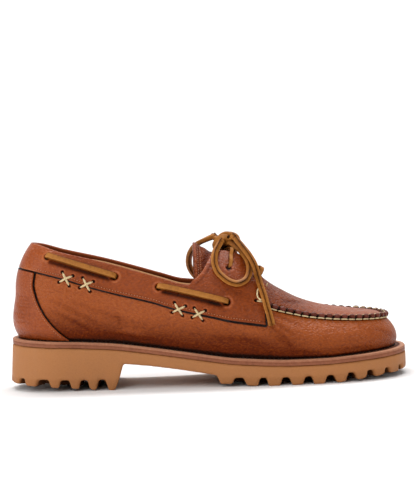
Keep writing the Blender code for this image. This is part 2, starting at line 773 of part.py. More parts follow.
def band_top_level(ring):
    """Level of the collar band's top edge: the collar, then the flap."""
    station = float(ring_station(ring))
    if station <= THROAT_REAR + HAIR:
        return level_at(ring, float(length(TOP_LINE, "height", station)) - BAND_DROP)
    ridge = last_point(ring, 2.0)
    shoulder = last_point(ring, 1.0)
    reach = np.linalg.norm((ridge - shoulder)[:2])
    over = 1 - float(length(FLAP_EDGE, "from_ridge", station)) / reach
    return 1 + math.acos(1 - min(max(over, 0.0), 1.0)) / (math.pi / 2)


def ring_columns(last=FEATHER_TOE):
    """Feather stations of the upper's columns on one side, with the ones where the pieces' corners lie."""
    columns = stations_with(RING_CORNERS, RING_CLEARANCE, RING_STEPS, FEATHER_HEEL, FEATHER_TOE)
    return columns[columns < last + HAIR]


def build_upper():
    """The vamp, quarters and apron as one wall, open at the collar, at the throat and underneath."""
    stations = ring_columns()
    ring = [ring_place(s, LATERAL) for s in stations[::-1]] + [ring_place(s, MEDIAL) for s in stations[1:-1]]
    ring = np.array(ring)
    tops = np.array([top_level(r) for r in ring])
    levels = [np.full(len(ring), level) for level in WALL_LEVELS] + [1 + (tops - 1) * s for s in CROWN_SHARES]
    outer = np.array([skin(ring, level) for level in levels])
    inner = np.array([skin(ring, level, -LEATHER - seam_raise(ring, level)) for level in levels])

    def is_edge(i, j):
        return tops[i] < 2 or tops[j] < 2

    return shell("upper", outer, inner, "tan_leather", closed=True, top_open=is_edge)


def build_midsole():
    """The leather layer between upper and outsole, its top edge rounded."""
    rings = []
    for station in rounded_stations(SOLE_STEPS):
        low = gum_top(station) + GAP
        high = midsole_top(station)
        inset = MIDSOLE_ROUND * roundness(station)
        ring = [
            (plan_y(station, LATERAL), low),
            (plan_y(station, LATERAL), high - MIDSOLE_ROUND),
            (plan_y(station, LATERAL) + inset, high),
            (plan_y(station, MEDIAL) - inset, high),
            (plan_y(station, MEDIAL), high - MIDSOLE_ROUND),
            (plan_y(station, MEDIAL), low),
        ]
        rings.append([place(raked(station, z), y, z) for y, z in ring])
    return loft("midsole", rings, "midsole_leather")


def build_insole():
    """The footbed, inside the upper's wall."""
    inset = LEATHER + 2 * GAP
    heel, toe = FEATHER_HEEL + inset, FEATHER_TOE - inset
    rings = []
    for station in rounded_stations(INSOLE_STEPS, heel, toe):
        low = midsole_top(station) + GAP
        high = low + INSOLE_THICKNESS
        lateral = plan_y(station, LATERAL, heel, toe, LEDGE + inset)
        medial = plan_y(station, MEDIAL, heel, toe, LEDGE + inset)
        corners = [(lateral, low), (lateral, high), (medial, high), (medial, low)]
        rings.append([place(station, y, z) for y, z in corners])
    return loft("insole", rings, "lining_leather")


def arch(side_point, middle_point, share):
    """A point on the rounded arch from one edge of the tongue to its middle."""
    out = np.cos(share * math.pi / 2) ** (2 / ARCH_POWER)
    up = np.sin(share * math.pi / 2) ** (2 / ARCH_POWER)
    return middle_point + (side_point - middle_point) * np.array([1 - up, out, 1 - up])


def tongue_section(station, depth):
    """One cross-section of the tongue, from its lateral edge over the middle to its medial edge."""
    level = read(TONGUE_LEAF, "side_level", station)
    side_lift = length(TONGUE_LEAF, "side_lift", station) - depth
    middle = skin(ring_place(station, LATERAL), 2.0, length(TONGUE_LEAF, "middle_lift", station) - depth)
    lateral = skin(ring_place(station, LATERAL), level, side_lift)
    medial = skin(ring_place(station, MEDIAL), level, side_lift)
    shares = np.linspace(0, 1, TONGUE_STEPS + 1)
    there = [arch(lateral, middle, share) for share in shares]
    back = [arch(medial, middle, share) for share in shares[-2::-1]]
    return there + back


def build_tongue():
    """The leaf behind the flaps: arched across the instep, tucked under the apron, its free end lifted."""
    stations = np.array(TONGUE_SECTIONS) * MM
    outer = np.array([tongue_section(station, 0.0) for station in stations])
    inner = np.array([tongue_section(station, TONGUE_THICKNESS) for station in stations])
    return shell("tongue", outer, inner, "tan_leather")


def strap(name, centres, outwards, width, slot):
    """A flat strap of the lace: a rectangle swept along its inner face's middle line."""
    centres, outwards = np.array(centres), np.array(outwards)
    along = np.gradient(centres, axis=0)
    across = np.cross(along, outwards)
    across *= (width / 2 / np.linalg.norm(across, axis=-1))[:, None]
    right, left = centres + across, centres - across
    up = outwards * LACE_THICKNESS
    return loft(name, np.stack([left, right, right + up, left + up], axis=1), slot)


def outward(ring, level):
    """Unit direction out of the upper's skin."""
    direction = skin(ring, level, MM) - skin(ring, level, 0.0)
    return direction / np.linalg.norm(direction, axis=-1)[..., None]


# Pieces on the upper


def stand_off(ring, level):
    """How far the collar band's flap stands off the last: nothing at the shoulder, most at its top edge."""
    station = ring_station((np.asarray(ring) + 1) % 2 - 1)
    tops = np.array([band_top_level(r) for r in np.atleast_1d(ring)])
    share = np.clip((level - 1) / np.maximum(tops - 1, LEVEL_STEP), 0, 1)
    return length(FLAP_EDGE, "stand_off", station) * share**FLAP_CURL


def band_skin(ring, level, lift=0.0):
    """A point `lift` outside the inner face of the collar band."""
    return skin(ring, level, GAP + SEAT + stand_off(ring, level) + lift)


def build_collar_band():
    """The band round the collar with the two eyelet flaps in front, as one wall."""
    stations = ring_columns(last=FLAP_FRONT)
    ring = [ring_place(s, LATERAL) for s in stations[::-1]] + [ring_place(s, MEDIAL) for s in stations[1:]]
    ring = np.array(ring)
    lows = np.array([level_at(r, float(length(BAND_SEAM, "height", ring_station(r)))) for r in ring])
    tops = np.array([band_top_level(r) for r in ring])
    shares = np.linspace(0, 1, BAND_ROWS + 1)
    levels = [lows + (tops - lows) * share for share in shares]
    outer = np.array([band_skin(ring, level, OVERLAY) for level in levels])
    inner = np.array([band_skin(ring, level) for level in levels])
    return shell("collar_band", outer, inner, "tan_leather")


def counter_place(around, share):
    """Ring and level of a point of the heel counter: `around` from edge to edge, `share` from foot to top."""
    front = ring_place(length(COUNTER_EDGE, "station", share, key="share", unit=1), MEDIAL)
    ring = around * front
    low = last_point(ring, 0.0)[2] + COUNTER_FOOT
    high = length(BAND_SEAM, "height", ring_station(ring)) - SEAM_GAP
    return ring, level_at(ring, float(low + share * (high - low)))


def build_heel_counter():
    """The piece round the heel, from the feather line up to the collar band."""
    places = [
        [counter_place(around, share) for around in np.linspace(-1, 1, 2 * COUNTER_STEPS + 1)]
        for share in np.linspace(0, 1, COUNTER_ROWS + 1) ** COUNTER_CROWD
    ]
    seat = GAP + COUNTER_SEAT
    outer = np.array([[skin(ring, level, seat + OVERLAY) for ring, level in row] for row in places])
    inner = np.array([[skin(ring, level, seat) for ring, level in row] for row in places])
    return shell("heel_counter", outer, inner, "tan_leather")


def build_side_lace(name, lace, side):
    """One length of rawhide that lies along the collar band between two slots."""
    shares = np.linspace(0, 1, SIDE_LACE_STEPS + 1)
    centres, outwards = [], []
    for share in shares:
        station = (lace.rear + (lace.front - lace.rear) * share) * MM
        height = (lace.rear_height + (lace.front_height - lace.rear_height) * share) * MM
        ring = ring_place(station, side)
        level = level_at(ring, height)
        centres.append(band_skin(ring, level, OVERLAY + GAP + SEAT)[0])
        outwards.append(outward(ring, level))
    return strap(name, centres, outwards, LACE_WIDTH, "rawhide")


def flap_place(station, side, share, lift):
    """A point outside the flap, at a share of the way up to its top edge, and its outward direction."""
    ring = ring_place(station, side)
    level = 1 + (band_top_level(ring) - 1) * share
    return band_skin(ring, level, OVERLAY + lift)[0], outward(ring, level)


def build_crossing(bar):
    """A length of the lace from one eyelet over its flap, across the instep and down to the other eyelet."""
    points, outwards = [], []
    for side in (LATERAL, MEDIAL):
        steps = [
            flap_place(bar.eyelet * MM, side, bar.eyelet_share, GAP + SEAT),
            flap_place(bar.edge * MM, side, (1 + bar.eyelet_share) / 2, GAP + SEAT),
            flap_place(bar.edge * MM, side, 1.0, GAP + bar.edge_lift * MM),
        ]
        points += steps if side == LATERAL else steps[::-1]
        if side == LATERAL:
            middle = place(bar.middle * MM, RIDGE_MIDDLE, bar.middle_height * MM)
            points.append((middle, np.array([0.0, 0.0, 1.0])))
    centres = smooth_path([point for point, _ in points], CROSSING_STEPS)
    outwards = smooth_path([direction for _, direction in points], CROSSING_STEPS)
    outwards /= np.linalg.norm(outwards, axis=-1)[:, None]
    return strap(bar.name, centres, outwards, LACE_WIDTH, "rawhide")


# Bow


def smooth_path(points, count):
    """`count` + 1 points on a smooth curve through the given points."""
    points = np.array(points)
    ends = np.concatenate([[2 * points[0] - points[1]], points, [2 * points[-1] - points[-2]]])
    at = np.linspace(0, len(points) - 1, count + 1)
    i = np.minimum(at.astype(int), len(points) - 2)
    t = (at - i)[:, None]
    before, first, second, after = ends[i], ends[i + 1], ends[i + 2], ends[i + 3]
    return (
        first
        + (second - before) * t / 2
        + (2 * before - 5 * first + 4 * second - after) * t**2 / 2
        + (3 * first - before - 3 * second + after) * t**3 / 2
    )


def even_path(points, spacing):
    """Points evenly spaced along a smooth curve."""
    fine = smooth_path(points, PATH_STEPS)
    run = np.concatenate([[0], np.cumsum(np.linalg.norm(np.diff(fine, axis=0), axis=-1))])
    at = np.linspace(0, run[-1], max(2, round(run[-1] / spacing)) + 1)
    return np.stack([np.interp(at, run, fine[:, axis]) for axis in range(3)], axis=-1)


def build_cord(name, points):
    """A round cord along a path, as a curve with a bevel and filled caps."""
    data = bpy.data.curves.new(name, "CURVE")
    data.dimensions = "3D"
    data.fill_mode = "FULL"
    data.bevel_depth = CORD_DIAMETER / 2
    data.bevel_resolution = 2
    data.use_fill_caps = True
    spline = data.splines.new("POLY")
    spline.points.add(len(points) - 1)
    for point, position in zip(spline.points, points):
        point.co = (*position, 1.0)
    data.materials.append(material("rawhide"))
    obj = bpy.data.objects.new(name, data)
    bpy.context.scene.collection.objects.link(obj)
    return obj


def knot_path():
    """The turns of the knot, wound about an axis that lies across the instep."""
    centre = place(KNOT.station * MM, KNOT.y * MM, KNOT.z * MM)
    turns = np.linspace(-KNOT_TURNS / 2, KNOT_TURNS / 2, KNOT_STEPS + 1)
    angles = 2 * math.pi * turns
    pitch = CORD_DIAMETER + GAP
    along, up = KNOT_LENGTH / 2 * np.cos(angles), KNOT_HEIGHT / 2 * np.sin(angles)
    return centre + np.stack([along, pitch * turns, up], axis=-1)


def build_bow():
    """The knot, and the two loops and two ends that come out of it, as lengths of cord 0.3 mm apart."""
    build_cord("lace_knot", knot_path())
    for name, route in BOW.items():
        points = [place(step.station * MM, step.y * MM, step.z * MM) for step in route]
        build_cord(name, even_path(points, CORD_SPACING))


def main():
    clear_scene()
    build_outsole()
    build_midsole()
    build_insole()
    build_upper()
    build_tongue()
    build_collar_band()
    build_heel_counter()
    for where, lace in SIDE_LACES.items():
        build_side_lace(f"side_lace_lateral_{where}", lace, LATERAL)
        build_side_lace(f"side_lace_medial_{where}", lace, MEDIAL)
    for bar in CROSSINGS:
        build_crossing(bar)
    build_bow()


main()
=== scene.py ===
"""A man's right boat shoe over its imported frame: tan pebbled leather, rawhide lace, leather midsole, gum.

Everything is in the frame's own metres: +X from heel to toe, -Y the lateral side, +Z up, the ground at
Z = 0. Sizes in the tables are millimetres, and a station is the distance from the outsole's heel back.
"""

import json
import logging
import math
from dataclasses import dataclass
from enum import Enum
from typing import Callable, NamedTuple, Sequence

import bmesh
import bpy
import numpy as np
from mathutils import Matrix, Vector

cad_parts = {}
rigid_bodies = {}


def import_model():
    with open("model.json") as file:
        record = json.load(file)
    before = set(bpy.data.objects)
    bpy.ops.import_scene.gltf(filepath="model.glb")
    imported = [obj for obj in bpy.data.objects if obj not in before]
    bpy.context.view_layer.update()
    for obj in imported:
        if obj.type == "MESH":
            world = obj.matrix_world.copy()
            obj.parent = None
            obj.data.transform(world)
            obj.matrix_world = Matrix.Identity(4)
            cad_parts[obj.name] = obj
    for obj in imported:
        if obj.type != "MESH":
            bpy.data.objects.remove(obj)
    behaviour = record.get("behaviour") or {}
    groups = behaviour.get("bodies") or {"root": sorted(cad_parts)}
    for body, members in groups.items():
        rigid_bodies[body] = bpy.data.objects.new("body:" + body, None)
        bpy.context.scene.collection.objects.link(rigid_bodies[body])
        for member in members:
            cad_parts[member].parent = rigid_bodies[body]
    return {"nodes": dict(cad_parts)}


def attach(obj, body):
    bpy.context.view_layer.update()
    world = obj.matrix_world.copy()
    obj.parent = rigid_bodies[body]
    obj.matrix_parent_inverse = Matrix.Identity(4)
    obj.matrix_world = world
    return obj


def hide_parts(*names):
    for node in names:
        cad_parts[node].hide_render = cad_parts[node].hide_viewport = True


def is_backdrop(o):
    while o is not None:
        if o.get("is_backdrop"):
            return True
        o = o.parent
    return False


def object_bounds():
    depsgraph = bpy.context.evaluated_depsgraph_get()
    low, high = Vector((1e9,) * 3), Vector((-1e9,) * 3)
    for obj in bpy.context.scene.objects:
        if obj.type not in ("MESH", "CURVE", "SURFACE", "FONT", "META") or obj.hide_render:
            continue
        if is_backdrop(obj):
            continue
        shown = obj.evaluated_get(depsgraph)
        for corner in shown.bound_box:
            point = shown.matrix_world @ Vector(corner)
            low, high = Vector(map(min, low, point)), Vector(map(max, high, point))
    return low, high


Array = np.ndarray
Values = np.ndarray | float
Pair = tuple[float, float]
Triple = tuple[float, float, float]
Colour = tuple[int, int, int]
BMesh = bmesh.types.BMesh
Socket = bpy.types.NodeSocket
TwoArrays = tuple[Array, Array]
Shape = Callable[[Array, Array], TwoArrays]

MM = 0.001
BODY = "root"
TONE = "tone"  # point attribute that the finishes read: -1 is a hole or a seam, painted as shade, 1 is a raw cut edge; many other negative tones are painted shade, and some positive ones painted highlight
CRACK_SHADE = "crack"  # point attribute of painted shade at cracks: 3 at the edge of a covering piece, falling by 1 a millimetre
LOG = logging.getLogger("boat_shoe")


class Side(Enum):
    """The two sides of the shoe, by the sign of Y."""

    LATERAL = -1
    MEDIAL = 1


@dataclass(frozen=True)
class Table:
    """Measures taken at rising places: the first column holds the places, and the others the measures."""

    columns: str
    rows: tuple[tuple[float, ...], ...]
    unit: float = MM  # one unit of the places

    def read(self, column: str, at: Values) -> Array:
        """Reads a column on a smooth line that never overshoots its rows.

        Args:
            column: name of the column to read.
            at: the places to read it at.

        Returns:
            The column's values, in the table's own unit.
        """
        table = np.array(self.rows, float)
        places, values = table[:, 0], table[:, self.columns.split().index(column)]
        at = np.clip(np.asarray(at, float) / self.unit, places[0], places[-1])
        steps = np.diff(places)
        rises = np.diff(values) / steps
        slopes = np.zeros_like(values)
        same_way = rises[:-1] * rises[1:] > 0
        before, after = 2 * steps[1:] + steps[:-1], steps[1:] + 2 * steps[:-1]
        left, right = (np.where(same_way, side, 1.0) for side in (rises[:-1], rises[1:]))
        slopes[1:-1] = np.where(same_way, (before + after) / (before / left + after / right), 0.0)
        slopes[0], slopes[-1] = rises[0], rises[-1]
        i = np.clip(np.searchsorted(places, at, side="right") - 1, 0, len(steps) - 1)
        step = steps[i]
        s = (at - places[i]) / step
        first = values[i] * (1 + 2 * s) * (1 - s) ** 2 + slopes[i] * step * s * (1 - s) ** 2
        return first + values[i + 1] * s**2 * (3 - 2 * s) + slopes[i + 1] * step * s**2 * (s - 1)


def rounded_end(distance: Array, reach: float, power: float) -> Array:
    """Share of the full width at a distance from a rounded end."""
    share = np.clip(1 - distance / reach, 0, 1)
    return (1 - share**power) ** (1 / power)


def soft_step(share: Values) -> Array:
    """0 below 0, 1 above 1, and a smooth rise between."""
    share = np.clip(share, 0, 1)
    return share * share * (3 - 2 * share)


def hump(distance: Values, width: float) -> Array:
    """A soft hump: 1 in its middle, and about a third at one width from it."""
    return np.exp(-((np.asarray(distance) / width) ** 2))


@dataclass(frozen=True)
class Last:
    """The form that the shoe is made on, and the plan of its sole, with the lines where the pieces end."""

    length: float = 301 * MM
    gap: float = 0.3 * MM
    wall: float = 2.0 * MM
    overlay: float = 1.2 * MM
    seat: float = 0.15 * MM
    heel_round: float = 38 * MM
    toe_round: float = 62 * MM
    heel_rake: float = 2.0 * MM
    heel_power: float = 2.0
    toe_power: float = 2.25
    feather_heel: float = 9.5 * MM
    feather_toe: float = 293 * MM
    ledge: float = 4.6 * MM
    ridge_middle: float = 3 * MM
    midsole: float = 4.3 * MM
    throat_rear: float = 138 * MM
    throat_front: float = 190 * MM
    band_drop: float = 0.7 * MM
    flap_curl: float = 1.3
    medial_lean: float = 5.0 * MM  # the medial flap's rear edge leans back this much more
    plan: Table = Table("station lateral medial middle", (
        (0, 36.5, 36.5, 2), (45, 37.5, 37.5, 1), (78, 38.5, 36.5, 1), (105, 41.5, 34.0, 1),
        (130, 45.0, 33.5, 1), (155, 49.0, 38.0, 1), (180, 52.5, 45.5, 1), (205, 54.3, 50.8, 1),
        (225, 54.5, 52.5, 1), (245, 54.0, 52.0, 2), (265, 53.5, 50.0, 3), (301, 53.0, 48.0, 5),
    ))
    side: Table = Table("station gum_top root", (
        (0, 34.4, 10.0), (17, 33.6, 9.8), (35, 32.6, 9.2), (50, 31.9, 8.6), (63, 31.0, 8.2),
        (72, 30.3, 8.0), (79, 29.7, 7.8), (106, 26.0, 7.6), (135, 21.4, 7.6), (157.5, 17.8, 7.3),
        (166, 16.6, 7.0), (180, 15.5, 6.6), (190, 14.7, 6.3), (212, 13.8, 6.0), (236, 13.9, 6.1),
        (254, 14.7, 7.1), (270, 15.5, 8.0), (285, 16.2, 8.1), (301, 17.0, 8.3),
    ))
    column: Table = Table(
        "station shoulder medial_raise lateral_in medial_in lateral_bulge medial_bulge turn crown", (
        (9.5, 75.0, 0.0, -2.0, -2.0, 4.2, 4.2, 0.0, 1.8),
        (30, 74.0, 0.0, -1.3, -1.5, 2.6, 2.6, 0.0, 2.0),
        (60, 68.0, 0.0, -1.8, -2.8, 2.2, 2.0, 0.0, 2.0),
        (100, 63.0, 0.0, -2.0, -6.3, 2.0, 1.6, 0.0, 1.8),
        (130, 61.0, 0.5, -1.0, -6.8, 2.0, 1.4, 0.1, 1.55),
        (160, 60.5, 1.0, 2.0, -3.0, 2.0, 1.5, 0.4, 1.5), (187, 59.3, 1.5, 7.0, 4.0, 2.2, 2.0, 0.8, 1.5),
        (198, 54.7, 1.6, 8.5, 6.8, 2.4, 2.2, 1.0, 1.5), (211, 51.0, 1.8, 9.0, 8.4, 2.6, 2.4, 1.0, 1.5),
        (226, 47.6, 2.0, 9.0, 9.0, 2.6, 2.4, 1.0, 1.55),
        (249, 44.8, 1.8, 8.7, 9.0, 2.6, 2.4, 1.0, 1.65), (266, 43.7, 1.2, 7.6, 8.0, 2.4, 2.4, 1.0, 1.9),
        (285, 42.9, 0.3, 6.2, 6.2, 2.1, 2.1, 1.0, 2.2), (293, 42.4, 0.0, 5.8, 5.8, 2.0, 2.0, 1.0, 2.3),
    ))
    spine: Table = Table("station height", (
        (9.5, 38), (40, 51), (78, 78), (110, 110), (205, 205), (235, 235), (265, 253), (293, 268),
    ))
    ridge: Table = Table("station height", (
        (38, 119.0), (75, 114.5), (100, 110.0), (130, 104.5), (150, 102.5), (160, 101.0), (168, 98.0),
        (175, 93.5), (182, 87.5), (190, 80.0), (200, 71.6), (207, 67.2), (222, 59.3), (237.5, 54.2),
        (253, 50.6), (268, 47.6),
    ))
    top: Table = Table("station height", (
        (9.5, 110.0), (20, 108.2), (40, 103.0), (70, 95.7), (97, 87.6), (116, 81.5), (134, 76.2),
        (150, 75.0), (165, 75.5), (178, 76.6), (186, 77.0), (188.5, 78.0), (190, 80.0),
    ))
    band_seam: Table = Table("station height", (
        (9.5, 91.6), (20, 89.8), (41, 84.6), (64, 76.8), (84, 70.9), (109, 64.5), (125, 59.2),
        (139, 55.4), (155, 51.5), (165, 48.9), (192, 44.4),
    ))
    flap: Table = Table("station from_ridge stand_off", (
        (138, 38.0, 0.0), (147, 32.5, 0.8), (152, 25.0, 1.6), (156.5, 17.0, 2.8), (165, 15.5, 4.6),
        (174.5, 16.5, 6.4), (181, 19.0, 6.4), (188, 25.5, 5.6), (192, 34.0, 4.4),
    ))

    def place(self, station: Values, y: Values, z: Values) -> Array:
        """Points of the frame from stations, with the origin under the middle of the outsole."""
        return np.stack(np.broadcast_arrays(station - self.length / 2, y, z), axis=-1)

    def gum_top(self, station: Values) -> Array:
        """Height of the outsole's top edge."""
        return self.side.read("gum_top", station) * MM

    def midsole_top(self, station: Values) -> Array:
        """Height of the midsole's top face."""
        return self.gum_top(station) + self.gap + self.midsole

    def plan_y(
        self, station: Array, side: Array, heel: float = 0.0, toe: float | None = None, inset: float = 0.0
    ) -> Array:
        """Y of the plan outline.

        Args:
            station: stations to read it at, in metres.
            side: -1 for the lateral side and 1 for the medial one.
            heel: station where the outline closes at the heel.
            toe: station where it closes at the toe, the outsole's own when None.
            inset: how far the line lies inside the outsole's widths.

        Returns:
            Y in metres.
        """
        toe = self.length if toe is None else toe
        lateral = self.plan.read("lateral", station)
        width = np.where(np.asarray(side) < 0, lateral, self.plan.read("medial", station)) * MM
        ends = rounded_end(station - heel, self.heel_round, self.heel_power)
        ends = ends * rounded_end(toe - station, self.toe_round, self.toe_power)
        return self.plan.read("middle", station) * MM + side * (width - inset) * ends

    def ring_station(self, ring: Values) -> Array:
        """Feather station at a place round the shoe: 0 is the heel back, -1 and 1 are the toe tip."""
        share = (1 - np.cos(math.pi * np.abs(ring))) / 2
        return self.feather_heel + (self.feather_toe - self.feather_heel) * share

    def ring_place(self, station: Values, side: Array | int) -> Array:
        """Place round the shoe of a feather station on one side."""
        share = (np.asarray(station) - self.feather_heel) / (self.feather_toe - self.feather_heel)
        return side * np.arccos(np.clip(1 - 2 * share, -1, 1)) / math.pi

    def point(self, ring: Array, level: Array) -> Array:
        """A point of the last.

        Args:
            ring: the place round the shoe.
            level: 0 at the feather line, 1 at the shoulder and 2 at the ridge.

        Returns:
            Points in metres, with a last axis of three.
        """
        ring, level = np.broadcast_arrays(np.asarray(ring, float), np.asarray(level, float))
        ring = (ring + 1) % 2 - 1
        station = self.ring_station(ring)
        lateral = ring < 0
        side = np.where(lateral, Side.LATERAL.value, Side.MEDIAL.value)
        foot_y = self.plan_y(station, side, self.feather_heel, self.feather_toe, self.ledge)
        foot = self.place(station, foot_y, self.midsole_top(station) + self.gap)
        spine = self.spine.read("height", station) * MM
        ridge = self.place(spine, self.ridge_middle, self.ridge.read("height", spine) * MM)
        across = (ridge - foot)[..., :2]
        reach = np.linalg.norm(across, axis=-1)
        inward = across / reach[..., None]

        def by_side(first: str, second: str) -> Array:
            """The lateral or the medial column, by the side that each point is on."""
            return np.where(lateral, self.column.read(first, station), self.column.read(second, station)) * MM

        shoulder_in = by_side("lateral_in", "medial_in")
        bulge = by_side("lateral_bulge", "medial_bulge")
        raised = np.where(lateral, 0.0, self.column.read("medial_raise", station) * MM)
        shoulder = self.column.read("shoulder", station) * MM + raised
        turn, crown = self.column.read("turn", station), self.column.read("crown", station)
        up = np.clip(level, 0, 1)
        swell = 6.75 * up * (1 - up) ** 2
        lean = (1 - turn) * up**2 * (3 - 2 * up) + turn * up**4
        over = 1 - np.cos(np.clip(level - 1, 0, 1) * math.pi / 2)
        rise = (1 - (1 - over) ** crown) ** (1 / crown)
        inwards = shoulder_in * lean - bulge * swell + (reach - shoulder_in) * over
        height = foot[..., 2] * (1 - up) + shoulder * up + (ridge[..., 2] - shoulder) * rise
        return np.concatenate([foot[..., :2] + inward * inwards[..., None], height[..., None]], axis=-1)

    def outward(self, ring: Array, level: Array) -> Array:
        """Unit direction out of the last.

        Args:
            ring: the place round the shoe.
            level: the level there.

        Returns:
            The directions.
        """
        ring, level = np.broadcast_arrays(np.asarray(ring, float), np.asarray(level, float))
        step = 1e-4
        along = self.point(ring + step, level) - self.point(ring - step, level)
        upward = self.point(ring, np.minimum(level + step, 2)) - self.point(ring, np.maximum(level - step, 0))
        out = np.cross(upward, along)
        spine = self.spine.read("height", self.ring_station((ring + 1) % 2 - 1)) * MM
        ahead, behind = (self.ridge.read("height", spine + s) * MM for s in (MM / 2, -MM / 2))
        up = np.stack([behind - ahead, np.zeros_like(spine), np.full_like(spine, MM)], axis=-1)
        out = np.where((level > 2 - step)[..., None], up, out)
        return out / np.linalg.norm(out, axis=-1)[..., None]

    def skin(self, ring: Array, level: Array, lift: Values = 0.0) -> Array:
        """A point that lies `lift` outside the last."""
        ring, level, lift = np.broadcast_arrays(*(np.asarray(a, float) for a in (ring, level, lift)))
        return self.point(ring, level) + self.outward(ring, level) * lift[..., None]

    def level_at(self, ring: Array, height: Array) -> Array:
        """The level at which each column of the last reaches a height.

        Args:
            ring: the place round the shoe.
            height: the height to reach.

        Returns:
            A level for each place.
        """
        levels = np.linspace(0, 2, 301)
        ring, height = (np.ravel(a) for a in np.broadcast_arrays(ring, height))
        columns, which = np.unique(np.round(ring, 6), return_inverse=True)
        heights = self.point(columns[:, None], levels[None, :])[..., 2]
        return np.array([np.interp(h, heights[i], levels) for h, i in zip(height, which.ravel())])

    def upper_top(self, ring: Array) -> Array:
        """Level of the upper's own top edge: the collar, the throat, or the ridge in front of the throat.

        Args:
            ring: the place round the shoe.

        Returns:
            The levels.
        """
        station = self.ring_station(ring)
        return np.where(
            station >= self.throat_front - 0.01 * MM,
            2.0,
            self.level_at(ring, self.top.read("height", station) * MM),
        )

    def band_top(self, ring: Array) -> Array:
        """Level of the collar band's top edge: the collar, then the flap.

        Args:
            ring: the place round the shoe.

        Returns:
            The levels.
        """
        station = self.ring_station(ring)
        collar = self.level_at(ring, self.top.read("height", station) * MM - self.band_drop)
        reach = np.linalg.norm((self.point(ring, 2.0) - self.point(ring, 1.0))[..., :2], axis=-1)
        rear = soft_step((station / MM - 139) / 3) * (1 - soft_step((station / MM - 158) / 6))
        lean = self.medial_lean * rear * (ring > 0)
        over = 1 - self.flap.read("from_ridge", station + lean) * MM / reach
        flap = 1 + np.arccos(1 - np.clip(over, 0, 1)) / (math.pi / 2)
        return np.where(station <= self.throat_rear + 0.01 * MM, collar, flap)

    def stand_off(self, ring: Array, level: Array, top: Array | None = None) -> Array:
        """How far the collar band's flap stands off the last, most at its top edge.

        Args:
            ring: the place round the shoe.
            level: the level there.
            top: the band's top level there, if it is known.

        Returns:
            Distances in metres.
        """
        top = self.band_top(ring) if top is None else top
        share = np.clip((level - 1) / np.maximum(top - 1, 0.005), 0, 1)
        return self.flap.read("stand_off", self.ring_station(ring)) * MM * share**self.flap_curl

    def band_skin(self, ring: Array, level: Array, lift: Values = 0.0, top: Array | None = None) -> Array:
        """A point `lift` outside the inner face of the collar band."""
        return self.skin(ring, level, self.gap + self.seat + self.stand_off(ring, level, top) + lift)

    def outline(self, ring: Array, inset: Array) -> Array:
        """Plan points of the sole's outline, moved inwards square to it.

        Args:
            ring: the place round the sole, -1 to 1, with 0 at the heel back.
            inset: distance inwards.

        Returns:
            X and Y of each point.
        """

        def on_line(at: Array) -> Array:
            """A point of the outline itself."""
            at = (at + 1) % 2 - 1
            station = self.length * (1 - np.cos(math.pi * at)) / 2
            side = np.where(at < 0, Side.LATERAL.value, Side.MEDIAL.value)
            raked = station + self.heel_rake * np.clip(1 - station / self.heel_round, 0, 1)
            return np.stack([raked - self.length / 2, self.plan_y(station, side)], axis=-1)

        step = 2e-3
        along = on_line(ring + step) - on_line(ring - step)
        inward = np.stack([along[..., 1], -along[..., 0]], axis=-1)
        inward /= np.linalg.norm(inward, axis=-1)[..., None]
        return on_line(ring) + inward * np.asarray(inset)[..., None]


def smooth_path(points: Array, count: int) -> Array:
    """A smooth curve through the given points.

    Args:
        points: the points.
        count: how many steps the curve has.

    Returns:
        Its `count` + 1 points.
    """
    points = np.asarray(points, float)
    ends = np.concatenate([[2 * points[0] - points[1]], points, [2 * points[-1] - points[-2]]])
    at = np.linspace(0, len(points) - 1, count + 1)
    i = np.minimum(at.astype(int), len(points) - 2)
    t = (at - i)[:, None]
    before, first, second, after = ends[i], ends[i + 1], ends[i + 2], ends[i + 3]
    return (
        first
        + (second - before) * t / 2
        + (2 * before - 5 * first + 4 * second - after) * t**2 / 2
        + (3 * first - before - 3 * second + after) * t**3 / 2
    )


def run_of(points: Array) -> Array:
    """Distance along a line of points, from its first."""
    return np.concatenate([[0.0], np.cumsum(np.linalg.norm(np.diff(points, axis=0), axis=-1))])


def even_path(points: Array, spacing: float) -> Array:
    """A smooth curve through the given points, evenly divided.

    Args:
        points: the points.
        spacing: length of a step, in metres.

    Returns:
        The points of the curve.
    """
    fine = smooth_path(points, 400)
    run = run_of(fine)
    at = np.linspace(0, run[-1], max(2, round(run[-1] / spacing)) + 1)
    return np.stack([np.interp(at, run, fine[:, axis]) for axis in range(3)], axis=-1)


# Meshes


def laid_grid(columns: int, rows: int, shape: Shape) -> BMesh:
    """A grid whose points are laid on a surface.

    Args:
        columns: faces along it.
        rows: faces up it.
        shape: gives points and tones for shares (0 to 1) along and up.

    Returns:
        The mesh, with a UV map of the shares and, on each point, a tone and a nearness to a crack, which
        paints shade.
    """
    mesh = bmesh.new()
    mesh.loops.layers.uv.new("Laid")
    bmesh.ops.create_grid(mesh, x_segments=columns, y_segments=rows, size=1.0, calc_uvs=True)
    flat = np.array([vert.co[:2] for vert in mesh.verts])
    shares = (flat - flat.min(axis=0)) / np.ptp(flat, axis=0)
    points, tones = shape(shares[:, 0], shares[:, 1])
    tones = np.asarray(tones)
    marks = tones if tones.ndim == 2 else np.stack(np.broadcast_arrays(tones, np.zeros(len(shares))), axis=-1)
    layers = [mesh.verts.layers.float.new(name) for name in (TONE, CRACK_SHADE)]
    for vert, point, (tone, crack) in zip(mesh.verts, points.tolist(), marks.tolist()):
        vert.co = point
        vert[layers[0]], vert[layers[1]] = tone, crack
    return mesh


def weld(mesh: BMesh, distance: float = 0.01 * MM) -> None:
    """Joins the points that lie on each other and turns the faces outwards."""
    bmesh.ops.remove_doubles(mesh, verts=mesh.verts, dist=distance)
    bmesh.ops.dissolve_degenerate(mesh, edges=mesh.edges, dist=distance / 10)
    bmesh.ops.recalc_face_normals(mesh, faces=mesh.faces)


